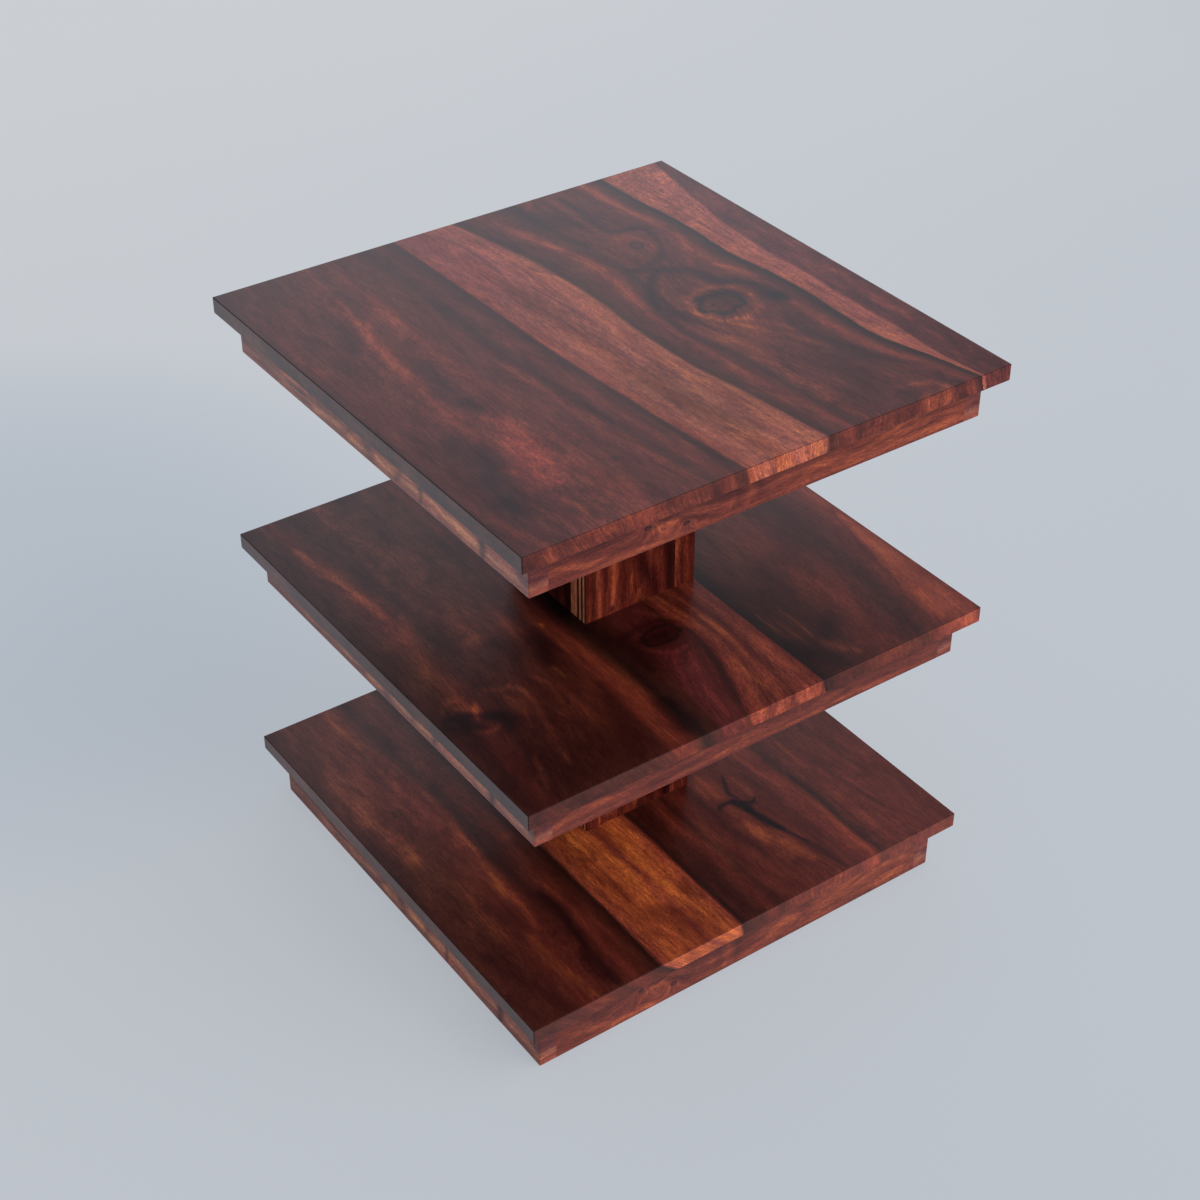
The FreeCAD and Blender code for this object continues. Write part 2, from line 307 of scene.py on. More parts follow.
def floor_finish():
    """Matt painted board that shows mostly its own colour.

    It gets paler towards the back, painted light for the way the studio light falls on it, and is
    dimmer in one soft round place behind the left side, a painted shadow."""
    material, wire, shader = new_material("floor_paint")
    place = wire.node("ShaderNodeTexCoord", output=3)
    x, y, _ = place.parts()
    cloud = place.noise(Scale=FLOOR_CLOUD_SCALE, Detail=2.0)
    distance = y * FLOOR_FADE_Y + x * FLOOR_FADE_X + cloud.swing(FLOOR_CLOUD_REACH)
    colour = distance.step(*FLOOR_FADE).mixed(FLOOR_NEAR_PAINTED_SHADE, FLOOR_FAR_PAINTED_LIGHT)
    # Painted shadow: the floor is drawn dimmer in one soft round place behind the left side.
    east = x - FLOOR_PAINTED_SHADOW_PLACE[0]
    north = y - FLOOR_PAINTED_SHADOW_PLACE[1]
    painted_shadow = (east * east + north * north).step(FLOOR_PAINTED_SHADOW_RADIUS**2, 0.0)
    colour = (painted_shadow * FLOOR_PAINTED_SHADOW_SHARE).mixed(colour, FLOOR_PAINTED_SHADOW)
    colour.into(shader.inputs["Base Color"])
    shader.inputs["Roughness"].default_value = FLOOR_ROUGHNESS
    shader.inputs["Specular IOR Level"].default_value = FLOOR_SPECULAR
    own = wire.node("ShaderNodeEmission", None, {"Color": colour})
    camera_ray = wire.node("ShaderNodeLightPath", output=0)
    rays = camera_ray.socket.node.outputs
    glossy_ray = Wire(wire.tree, rays["Is Glossy Ray"])
    through_ray = Wire(wire.tree, rays["Is Transmission Ray"])
    seen = (camera_ray + glossy_ray + through_ray).clamped()
    lit = Wire(wire.tree, shader.outputs[0])
    mixed = wire.node("ShaderNodeMixShader", None, {0: seen * FLOOR_OWN_SHARE, 1: lit, 2: own})
    mixed.into(wire.tree.nodes["Material Output"].inputs["Surface"])
    return material


def soft_lamp(name, place, target, width, height, power, colour):
    """A large rectangle of light that looks at a target."""
    light = bpy.data.lights.new(name, "AREA")
    light.shape = "RECTANGLE"
    light.size = width
    light.size_y = height
    light.energy = power
    light.color = colour[:3]
    lamp = bpy.data.objects.new(name, light)
    lamp.location = place
    lamp.rotation_mode = "QUATERNION"
    lamp.rotation_quaternion = (Vector(target) - Vector(place)).to_track_quat("-Z", "Y")
    bpy.context.scene.collection.objects.link(lamp)


def make_sky():
    """A dim studio with a wide pale light overhead, by the height of each direction."""
    sky = bpy.data.worlds.new("studio_sky")
    sky.use_nodes = True
    wire = Wire(sky.node_tree)
    height = wire.node("ShaderNodeTexCoord", output=0).parts()[2]
    walls = height.step(*WALLS_FADE).mixed(SKY_LOW, SKY_MIDDLE)
    colour = height.step(*OVERHEAD_FADE).mixed(walls, SKY_OVERHEAD)
    background = sky.node_tree.nodes["Background"]
    colour.into(background.inputs["Color"])
    background.inputs["Strength"].default_value = SKY_STRENGTH
    bpy.context.scene.world = sky


floor = floor_disc()
floor.data.materials.append(floor_finish())
floor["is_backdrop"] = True
make_sky()
soft_lamp("key_lamp", **KEY_LAMP)
soft_lamp("sheen_lamp", **SHEEN_LAMP)
bpy.context.scene.view_settings.view_transform = "Standard"
print("floor, sky and two lamps")

# %% [markdown]
# ## Boards with rounded edges
#
# Every wooden piece here is a board. A plain box would have razor edges that no sanded board has,
# so the box's surface is rounded by one formula. A grid of points covers the six sides. Each point
# is pulled to the nearest point of a smaller box inside, then pushed out again by the easing. Flat
# sides stay flat, and edges and corners become quarter rounds. Sides that are glued to a neighbour
# aren't eased, so there the inner box reaches the outer one and the edge stays tight.

# %% The rounded board
MM = 0.001
EDGE_STEPS = 4
SUPPORT_SHARE = 0.35
SEAM = 0.5 * MM
SHARP_ANGLE = np.radians(40)
TINY = 1e-9
SIDES = ("left", "right", "front", "back", "bottom", "top")


def grid_lines(low, high, easing, low_eased, high_eased, spacing):
    """Grid lines over one direction of a board, at equal angles where an edge turns.

    An edge point at angle t lies easing * (1 - tan t) from the box's side, t from 45 to 0."""
    turn = np.linspace(np.pi / 4, 0, EDGE_STEPS + 1)
    edge = np.append(easing * (1 - np.tan(turn)), easing * (1 + SUPPORT_SHARE))
    start = low + (edge if low_eased else np.array([0, SEAM]))
    end = (high - (edge if high_eased else np.array([0, SEAM])))[::-1]
    steps = max(1, round((end[0] - start[-1]) / spacing))
    between = np.linspace(start[-1], end[0], steps + 1)[1:-1]
    return np.concatenate([start, between, end])


def board_shell(low, high, easing, eased, spacing):
    """Points and faces of a rounded board: p = c + easing * (q - c) / |q - c|.

    q runs over the box's sides and c is the point of the inner box nearest to q. eased names
    the sides whose shared edges are rounded. Also gives how far each point has turned."""
    flags = np.array([side in eased for side in SIDES]).reshape(3, 2)
    axes = [
        grid_lines(low[axis], high[axis], easing, *flags[axis], spacing[axis])
        for axis in range(3)
    ]
    counts = [len(lines) for lines in axes]
    index = np.arange(np.prod(counts)).reshape(counts)
    quads = []
    for axis in range(3):
        for end in (0, -1):
            side = np.take(index, end, axis=axis)
            ring = (side[:-1, :-1], side[1:, :-1], side[1:, 1:], side[:-1, 1:])
            faces = np.stack(ring, -1).reshape(-1, 4)
            inwards = (end == -1) == (axis == 1)
            quads.append(faces[:, ::-1] if inwards else faces)
    used, faces = np.unique(np.concatenate(quads), return_inverse=True)
    grid = np.unravel_index(used, counts)
    outer = np.stack([lines[place] for lines, place in zip(axes, grid)], -1)
    inner = np.clip(outer, low + easing * flags[:, 0], high - easing * flags[:, 1])
    away = outer - inner
    length = np.linalg.norm(away, axis=1, keepdims=True)
    normal = away / np.maximum(length, TINY)
    points = np.where(length > TINY, inner + easing * normal, outer)
    turned = np.where(length[:, 0] > TINY, 1 - np.abs(normal).max(1), 0)
    return points, faces.reshape(-1, 4), turned


def smooth_with_sharp_corners(piece):
    """Smooth shading that stops at real corners."""
    mesh = piece.data
    mesh.shade_smooth()
    mesh.set_sharp_from_angle(angle=SHARP_ANGLE)


def set_attribute(mesh, name, columns):
    """Stores one vector per point."""
    made = mesh.attributes.new(name, "FLOAT_VECTOR", "POINT")
    made.data.foreach_set("vector", np.stack(columns, -1).astype(np.float32).ravel())


print("a turning edge is", 2 * EDGE_STEPS, "facets")

# %% [markdown]
# ## Grain as a field
#
# Wood figure is a stack of growth layers cut by a flat saw. So the pattern isn't painted on a side:
# each point of a board gets a grain coordinate, which says which layer it is in, and every fine
# line, pore and vein is drawn from that coordinate. Layers are described by a few lines that run
# along a board, drawn where the photograph shows them. Between two lines the coordinate is
# interpolated. Knots push it aside. Flames, clouds and cracks are soft brush strokes laid over it.
#
# All drawings use half millimetres: across a board, along it, and down into it.

# %% Grain lines and brush strokes
UNIT = 0.5 * MM
SLAB_SPAN = 1000
SHORT_OF_END = 1e-6
LEAST_GAP = 1e-2
STROKE_STEP = 0.5
STROKE_END_SHARE = 0.4
STROKE_END_POWER = 0.7
STROKE_REACH = 2.5
NO_KNOT = 9.0


def drawn_line(places, share):
    """A smooth line through places at even steps, with share from 0 to 1.

    Each step is the cubic that meets both places, with slopes taken from their neighbours."""
    places = np.asarray(places, float)
    slopes = np.gradient(places)
    last = len(places) - 1
    step = np.clip(share * last, 0, last - SHORT_OF_END)
    i = step.astype(int)
    u = step - i
    return (
        (2 * u**3 - 3 * u**2 + 1) * places[i]
        + (u**3 - 2 * u**2 + u) * slopes[i]
        + (3 * u**2 - 2 * u**3) * places[i + 1]
        + (u**3 - u**2) * slopes[i + 1]
    )


def layer_of(lines, across, share):
    """The layer at each point, by straight interpolation between the two drawn lines round it.

    A line is (its layer, its places across at even steps along)."""
    layer = np.full_like(across, lines[0][0])
    for (low_layer, low_places), (high_layer, high_places) in zip(lines, lines[1:]):
        low = drawn_line(low_places, share)
        high = drawn_line(high_places, share)
        inside = np.clip((across - low) / np.maximum(high - low, LEAST_GAP), 0, 1)
        layer += inside * (high_layer - low_layer)
    return layer


def hill(across, along, spot):
    """A bell centred on a spot (across, along, half width, half length): exp(-d squared)."""
    x, y, half_width, half_length = spot
    return np.exp(-(((across - x) / half_width) ** 2) - ((along - y) / half_length) ** 2)


def stroke(across, along, half_width, places):
    """A soft brush stroke: exp(-(d / w) squared), d the distance to a smooth curve through places.

    The curve is taken at short even steps, and w narrows towards both ends."""
    places = np.asarray(places, float)
    length = np.hypot(*np.diff(places, axis=0).T).sum()
    share = np.linspace(0, 1, int(length / (half_width * STROKE_STEP)) + 2)
    line_across = drawn_line(places[:, 0], share)
    line_along = drawn_line(places[:, 1], share)
    swell = np.sin(np.pi * share) ** STROKE_END_POWER
    width = half_width * (STROKE_END_SHARE + (1 - STROKE_END_SHARE) * swell)
    reach = STROKE_REACH * half_width
    near = (across > line_across.min() - reach) & (across < line_across.max() + reach)
    near &= (along > line_along.min() - reach) & (along < line_along.max() + reach)
    near = np.flatnonzero(near)
    away = (across[near, None] - line_across) ** 2 + (along[near, None] - line_along) ** 2
    shade = np.zeros_like(across)
    if len(near):
        shade[near] = np.exp(-away / width**2).max(1)
    return shade


def distance_to_knots(across, along, knots):
    """How far each point is from the nearest knot, in that knot's own radii."""
    nearest = np.full_like(across, NO_KNOT)
    for x, y, radius_across, radius_along in knots:
        away = np.hypot((across - x) / radius_across, (along - y) / radius_along)
        nearest = np.minimum(nearest, away)
    return nearest


print("a hill is 1 high:", hill(np.zeros(1), np.zeros(1), (0, 0, 1, 1))[0])

# %% [markdown]
# ## Colours of the wood
#
# Oiled sheesham runs from nearly black veins through plum and brown to salmon and amber. These are
# the colours of the bare surface, except the pale tan, which is painted light: it is drawn on the
# side rails and on the column boards' edges to make shaded sides look lit. The grey of the
# photograph's tops is gloss, and comes by itself.

# %% Palette
INK = srgb(28, 11, 9)
UMBER = srgb(56, 20, 15)
PLUM = srgb(74, 25, 24)
CHESTNUT = srgb(80, 29, 22)
RUSSET = srgb(100, 38, 28)
BRICK = srgb(122, 52, 38)
ROSE = srgb(136, 66, 56)
SALMON = srgb(144, 70, 53)
# Painted light: a pale tan drawn on the side rails and on the column boards' edges, to make shaded sides
# look lit.
PAINTED_LIGHT_TAN = srgb(164, 98, 74)
AMBER = srgb(146, 68, 38)

# %% [markdown]
# ## The drawings of the three slabs
#
# Places run across from the left side and along from the back, 0 to 1000. A line's first number is
# its layer. A band is the layer where a colour starts to change into the next, and how lively the
# wood is there. A stroke is its strength, its warmth, its half width and its places; a negative
# strength is a dark one. A push bends the layers round a knot. Wiped are soft spots where the oil is
# thinner by a share, or thicker where the share is negative.

# %% The top slab
TOP = {
    "lines": (
        (0, (0, 0)),
        (150, (182, 170, 148, 130, 122, 128)),
        (250, (250, 250, 250, 255, 262, 275)),
        (300, (292, 292, 294, 303, 322, 344)),
        (345, (344, 345, 348, 353, 366, 386)),
        (385, (377, 379, 381, 384, 386, 388, 393, 402, 408, 418, 427)),
        (555, (505, 525, 542, 552, 557, 552, 549, 556, 571, 583, 594)),
        (608, (568, 588, 612, 627, 616, 604, 602, 610, 621, 633, 648)),
        (640, (645, 650, 660, 668, 662, 625, 613, 640, 648, 653, 660)),
        (727, (715, 722, 735, 742, 735, 727, 727, 735, 752, 770, 785)),
        (815, (797, 803, 812, 812, 805, 832, 842, 833, 845, 872, 905)),
        (866, (850, 853, 862, 866, 864, 877, 883, 880, 881, 909, 932)),
        (925, (983, 962, 943, 928, 923, 925, 927, 925, 927, 923, 934)),
        (1000, (1000, 1000)),
    ),
    "bands": (
        (0, UMBER, 0.9), (20, CHESTNUT, 1), (60, CHESTNUT, 1.1), (110, CHESTNUT, 1.2),
        (150, RUSSET, 1.1), (178, CHESTNUT, 1.1), (222, RUSSET, 1), (246, CHESTNUT, 0.9),
        (300, CHESTNUT, 0.9), (318, UMBER, 0.8), (345, CHESTNUT, 0.8), (374, UMBER, 0.7),
        (382, UMBER, 0.5), (387, BRICK, 0.9), (420, ROSE, 1.1), (455, BRICK, 1.1),
        (490, ROSE, 1.1), (530, SALMON, 1.1), (550, ROSE, 1), (557, UMBER, 0.7),
        (592, CHESTNUT, 0.9), (606, RUSSET, 1), (618, CHESTNUT, 0.9), (637, UMBER, 0.6),
        (650, CHESTNUT, 1.1), (800, CHESTNUT, 1.1), (822, RUSSET, 1.1), (850, UMBER, 0.9),
        (864, INK, 0.5), (869, SALMON, 1.2), (921, ROSE, 1.2), (929, PLUM, 1.3),
    ),
    "pushes": ((-28, 725, 545, 45, 60), (-12, 742, 275, 30, 38)),
    "knots": ((727, 543, 47, 44), (739, 275, 13, 15)),
    "strokes": (
        (0.2, 0.1, 17, ((575, 50), (597, 130), (612, 210))),
        (0.45, 0.1, 18, ((606, 170), (622, 240), (634, 310), (620, 400), (608, 480))),
        (0.65, 0.2, 24, ((668, 550), (660, 610), (668, 680), (674, 770))),
        (0.6, 0.2, 8, ((715, 600), (753, 640), (773, 690))),
        (0.5, 0.2, 20, ((700, 600), (712, 640), (708, 700))),
        (0.35, 0.0, 9, ((610, 700), (604, 800), (612, 900))),
        (0.1, 0.4, 26, ((535, 180), (552, 300), (560, 500), (560, 700), (570, 880), (580, 1020))),
        (0.6, 0.3, 8, ((695, 605), (730, 660), (764, 727), (787, 775))),
        (0.5, 0.2, 12, ((672, 780), (676, 880), (682, 990))),
        (0.5, 0.0, 22, ((712, 310), (698, 278), (720, 240), (760, 244), (770, 285), (745, 312))),
        (0.5, 0.0, 8, ((638, 42), (662, 27), (680, 0))),
        (0.4, 0.0, 7, ((715, 5), (713, 100), (712, 180))),
        (0.5, 0.0, 12, ((800, 0), (808, 120), (822, 200), (826, 290), (800, 345), (783, 385))),
        (0.6, 0.2, 8, ((808, 415), (838, 465), (845, 500))),
        (0.8, 0.2, 11, ((690, 596), (672, 548), (688, 502), (735, 484), (780, 506), (794, 550))),
        (0.7, 0.1, 11, ((792, 545), (776, 592), (740, 608), (700, 600))),
        (0.5, 0.0, 13, ((838, 610), (833, 690), (838, 760), (852, 830), (878, 895))),
        (0.8, -0.4, 26, ((180, 630), (180, 710), (174, 790), (166, 860))),
        (0.6, -0.4, 28, ((164, 710), (152, 780), (144, 860))),
        (-0.3, 0.0, 60, ((450, 260), (450, 440))),
        (-0.35, 0.4, 75, ((465, 660), (485, 780), (505, 900))),
        (0.3, 0.3, 50, ((470, 925), (490, 1010))),
        (0.0, 0.3, 60, ((450, 300), (465, 600), (480, 900))),
        (-0.5, 0.0, 3, ((500, 20), (508, 150), (514, 300))),
        (-0.5, 0.0, 3, ((452, 330), (462, 480), (470, 640))),
        (-0.45, 0.0, 3, ((490, 300), (500, 450), (505, 600))),
        (-0.4, 0.0, 3, ((540, 640), (552, 800), (560, 980))),
        (-0.45, 0.0, 3, ((450, 700), (462, 850), (470, 1000))),
        (-0.5, 0.0, 3, ((896, 120), (892, 240), (898, 380))),
        (-0.45, 0.0, 3, ((912, 420), (908, 560), (912, 700))),
        (0.3, -0.1, 45, ((968, 60), (965, 350), (965, 720))),
        (-0.25, 0.0, 45, ((850, 470), (848, 700), (858, 1000))),
        (0.3, -0.2, 42, ((345, 420), (355, 600), (366, 800), (375, 1000))),
        (-0.3, 0.0, 90, ((-20, 30), (150, 20), (300, 10))),
        (-0.4, 0.0, 45, ((715, 920), (770, 990))),
        (0.4, -0.1, 14, ((38, 800), (60, 830), (90, 825))),
        (-0.2, -0.3, 60, ((405, 0), (420, 130), (430, 300))),
        (0.5, 0.1, 17, ((176, 150), (168, 250), (150, 340), (142, 400), (138, 470), (126, 550))),
        (0.3, 0.0, 18, ((222, 160), (224, 250), (216, 350))),
        (0.4, 0.0, 12, ((292, 500), (302, 600), (306, 680), (314, 760), (328, 840), (340, 970))),
        (0.3, 0.0, 12, ((256, 570), (255, 660), (262, 760), (268, 860))),
        (0.7, 0.0, 9, ((102, 775), (116, 788), (124, 800))),
        (0.8, 0.7, 5, ((149, 922), (147, 962))),
        (0.6, 0.1, 11, ((815, 955), (842, 966), (860, 988))),
        (0.7, 0.0, 18, ((812, 988), (814, 1020))),
        (0.9, 0.1, 14, ((852, 988), (854, 1020))),
        (0.6, 0.0, 13, ((46, 988), (44, 1020))),
        (0.4, 0.0, 16, ((402, 988), (400, 1020))),
        (-0.8, 0.0, 13, ((886, 985), (888, 1020))),
        (0.4, -0.2, 13, ((20, 200), (22, 290), (20, 375))),
        (0.5, 0.1, 6, ((392, 815), (395, 880), (397, 940))),
        (0.4, -0.1, 12, ((978, 540), (970, 690), (962, 860))),
        (0.5, 0.0, 10, ((20, 890), (35, 960), (50, 1000))),
        (0.4, 0.0, 14, ((250, 900), (248, 960))),
        (-0.6, 0.0, 38, ((86, 660), (98, 720), (112, 760), (84, 820), (70, 870))),
        (-0.5, 0.0, 24, ((120, 700), (104, 760), (74, 800), (56, 860), (70, 900))),
        (-0.5, 0.0, 20, ((40, 860), (62, 880), (48, 930))),
        (-0.5, 0.0, 18, ((130, 850), (118, 900), (132, 950))),
        (-0.3, 0.0, 70, ((60, 640), (60, 760), (60, 880), (40, 1000))),
        (-0.7, 0.0, 28, ((186, 425), (170, 480), (160, 540), (178, 600))),
        (-0.5, 0.0, 18, ((130, 180), (122, 250), (112, 330))),
        (-0.4, 0.0, 12, ((216, 560), (222, 680), (214, 800))),
        (-0.5, 0.0, 16, ((188, 110), (188, 160), (178, 225))),
        (-0.3, 0.0, 18, ((60, 200), (55, 290), (62, 370))),
        (-1.1, 0.0, 13, ((668, 350), (712, 376), (755, 413), (778, 470), (803, 492), (824, 515))),
        (-1.2, 0.0, 14, ((824, 515), (826, 550), (832, 590))),
        (-1.4, 0.0, 20, ((822, 570), (836, 590))),
        (-1.1, 0.0, 11, ((712, 376), (672, 410), (648, 450), (625, 500))),
        (-0.9, 0.0, 10, ((652, 470), (640, 530), (656, 590), (670, 640))),
        (-1.0, 0.0, 10, ((740, 496), (770, 520), (768, 560))),
        (-0.6, 0.0, 30, ((640, 20), (660, 90), (700, 150))),
        (-0.5, 0.0, 22, ((800, 700), (790, 790), (812, 860))),
        (-1.0, 0.0, 9, ((734, 30), (734, 100), (726, 180), (744, 206), (788, 224), (784, 280))),
        (-0.7, 0.0, 9, ((784, 280), (764, 318), (735, 345), (690, 350))),
        (-0.6, 0.0, 5, ((470, 100), (473, 150), (472, 225))),
        (-0.6, 0.0, 4, ((476, 460), (480, 560), (478, 700))),
        (-0.5, 0.0, 4, ((505, 560), (508, 660), (515, 740))),
        (-0.4, 0.0, 38, ((742, 780), (752, 850), (775, 925))),
        (-0.6, 0.0, 12, ((800, 630), (788, 690), (806, 770), (832, 850), (865, 905))),
        (-0.7, 0.0, 14, ((780, 960), (805, 985))),
        (-0.7, 0.0, 10, ((880, 945), (868, 975))),
        (-1.0, 0.0, 6, ((272, 848), (274, 860))),
    ),
    "wiped": (
        (0.07, 600, 100, 500, 350), (-0.16, 150, 760, 260, 380), (0.09, 930, 570, 200, 300),
    ),
    "slants": (0.4, 0.3, 0.25, 0.1, 0.3),
}
print("the top slab has", len(TOP["strokes"]), "strokes")

# %% The middle slab
MIDDLE = {
    "lines": (
        (0, (0, 0)),
        (90, (70, 78, 92, 88, 70, 45)),
        (200, (215, 215, 222, 222, 200, 160)),
        (270, (285, 282, 280, 278, 270, 250)),
        (310, (318, 316, 312, 306, 306, 300)),
        (360, (358, 355, 352, 346, 352, 350)),
        (475, (478, 478, 476, 482, 468, 430)),
        (520, (500, 500, 498, 496, 496, 498, 499, 519, 521, 497, 457)),
        (624, (624, 624)),
        (800, (790, 795, 800, 810, 800, 780)),
        (930, (960, 955, 950, 960, 940, 905)),
        (1000, (1000, 1000)),
    ),
    "bands": (
        (0, UMBER, 0.9), (40, UMBER, 0.9), (80, CHESTNUT, 0.9), (115, UMBER, 0.9),
        (190, UMBER, 0.8), (262, UMBER, 0.7), (295, UMBER, 0.7),
        (312, CHESTNUT, 0.7), (340, CHESTNUT, 0.7), (352, UMBER, 0.7), (372, INK, 0.7),
        (415, UMBER, 0.8), (440, PLUM, 0.8), (485, PLUM, 0.8), (500, CHESTNUT, 0.7),
        (514, UMBER, 0.6), (521, RUSSET, 1), (536, BRICK, 1.1), (552, CHESTNUT, 1),
        (566, BRICK, 1), (580, CHESTNUT, 1), (600, BRICK, 1), (623, RUSSET, 0.9), (625, INK, 0.7),
        (660, UMBER, 0.8), (720, UMBER, 0.8), (800, CHESTNUT, 0.8), (880, UMBER, 0.8),
        (915, CHESTNUT, 0.8), (945, RUSSET, 0.8), (975, BRICK, 0.8), (1000, RUSSET, 0.8),
    ),
    "pushes": ((24, 470, 700, 40, 42), (-24, 470, 758, 40, 36)),
    "knots": ((467, 728, 48, 29),),
    "strokes": (
        # Painted light: the first three strokes lighten the back left, which the top slab shades from
        # above.
        (0.7, -0.3, 62, ((40, -60), (44, 150), (48, 330), (44, 470))),
        (1.3, -0.4, 70, ((165, -60), (170, 150), (176, 330), (182, 540))),
        (1.3, -0.4, 80, ((285, -60), (280, 200), (272, 400), (264, 560))),
        (0.4, -0.1, 60, ((150, 560), (150, 660), (150, 760))),
        (0.55, -0.2, 110, ((262, 540), (280, 760), (300, 1040))),
        (-0.3, 0.0, 60, ((40, 690), (40, 850), (40, 1040))),
        (0.6, -0.2, 70, ((770, 440), (760, 620))),
        (0.8, 0.0, 14, ((60, 110), (78, 250), (88, 400))),
        (0.6, -0.1, 30, ((84, 300), (92, 400), (80, 480))),
        (0.5, 0.0, 26, ((110, 420), (90, 520), (40, 620))),
        (0.6, -0.1, 50, ((700, 440), (704, 560), (700, 700))),
        (0.4, -0.1, 60, ((845, 540), (830, 700), (815, 860))),
        (0.8, 0.0, 12, ((30, 690), (48, 672), (66, 676), (74, 700))),
        (1.3, 0.0, 8, ((88, 700), (78, 722), (66, 745))),
        (0.9, -0.1, 9, ((46, 694), (66, 706), (84, 728))),
        (0.7, -0.1, 8, ((160, 694), (178, 728), (170, 790))),
        (0.7, 0.0, 7, ((118, 676), (146, 696), (168, 690))),
        (-0.9, 0.0, 12, ((16, 716), (54, 722), (112, 752))),
        (0.6, -0.1, 8, ((210, 690), (222, 730), (214, 790))),
        (0.9, -0.1, 6, ((44, 760), (66, 782), (92, 776))),
        (0.6, 0.0, 10, ((143, 712), (147, 745), (140, 790))),
        (0.6, 0.0, 8, ((22, 722), (30, 742))),
        (1.0, 0.9, 4, ((257, 692), (258, 732))),
        (1.3, 1.2, 4, ((310, 577), (312, 584))),
        (0.35, 0.1, 24, ((300, 540), (310, 620), (325, 700), (330, 800), (318, 900), (312, 980))),
        (0.4, 0.2, 9, ((350, 640), (352, 760), (345, 860))),
        (-1.3, 0.0, 22, ((440, 728), (466, 732), (494, 728))),
        (-0.4, 0.2, 90, ((40, 910), (180, 930), (340, 950))),
        (0.4, 0.4, 50, ((45, 480), (50, 590), (40, 680))),
        (-0.8, 0.0, 10, ((405, 700), (440, 690), (490, 694), (520, 716))),
        (0.8, 0.1, 7, ((98, 870), (80, 915), (66, 962))),
        (0.6, -0.2, 10, ((165, 780), (150, 850), (130, 930))),
        (0.5, 0.1, 6, ((205, 800), (195, 820))),
        (0.4, 0.0, 9, ((240, 740), (232, 830), (225, 900))),
        (0.6, -0.1, 7, ((470, 640), (495, 672), (508, 700))),
        (0.7, -0.2, 6, ((415, 742), (440, 772), (470, 785), (500, 775))),
        (0.6, -0.2, 9, ((480, 800), (462, 850), (440, 910), (425, 985))),
        (0.5, -0.2, 6, ((452, 790), (430, 840), (408, 900))),
        (0.5, -0.2, 5, ((505, 800), (490, 850), (470, 900))),
        (0.5, 0.3, 5, ((530, 620), (538, 690), (546, 750), (552, 800))),
        (0.5, 0.3, 5, ((562, 720), (566, 800), (560, 870))),
        (0.5, 0.4, 5, ((533, 860), (528, 930), (532, 990))),
        (0.8, 0.7, 3, ((646, 780), (648, 830), (652, 880))),
        (0.8, 0.7, 3, ((668, 790), (666, 850), (670, 900))),
        (0.8, 0.7, 3, ((690, 790), (694, 840), (690, 890))),
        (0.9, 0.0, 13, ((696, 912), (704, 935), (716, 955))),
        (0.8, 0.0, 8, ((725, 960), (732, 975))),
        (0.6, 0.1, 24, ((985, 620), (962, 740), (940, 860), (925, 975))),
        (-0.9, 0.0, 20, ((288, 500), (280, 570), (278, 630), (255, 680))),
        (-0.6, 0.0, 18, ((375, 510), (365, 600), (385, 690))),
        (-0.7, 0.0, 26, ((380, 680), (400, 720), (398, 800))),
        (-0.6, 0.0, 22, ((360, 880), (348, 930), (345, 980))),
        (-1.0, 0.0, 20, ((10, 735), (40, 742), (62, 765))),
        (-1.1, 0.0, 18, ((88, 750), (110, 770), (98, 800))),
        (-0.5, 0.0, 24, ((300, 780), (285, 850), (262, 920), (240, 985))),
        (-0.5, 0.0, 14, ((505, 730), (500, 830), (480, 900), (460, 960))),
        (-0.8, 0.0, 26, ((640, 885), (655, 925), (690, 985))),
        (-0.7, 0.0, 22, ((760, 850), (735, 885), (715, 905))),
        (-0.4, 0.0, 30, ((850, 500), (840, 620), (820, 740))),
        (-0.6, 0.0, 8, ((985, 590), (960, 690), (940, 780), (925, 860))),
    ),
    "wiped": (
        (0.5, 560, 940, 330, 300), (0.35, 40, 620, 110, 170), (0.65, 535, 850, 110, 230),
        (0.25, 230, 600, 160, 120), (0.5, 300, 850, 250, 230), (0.35, 740, 760, 140, 200),
    ),
    "slants": (0.6, 0.4, 0.0, 0.3),
}
print("the middle slab has", len(MIDDLE["strokes"]), "strokes")

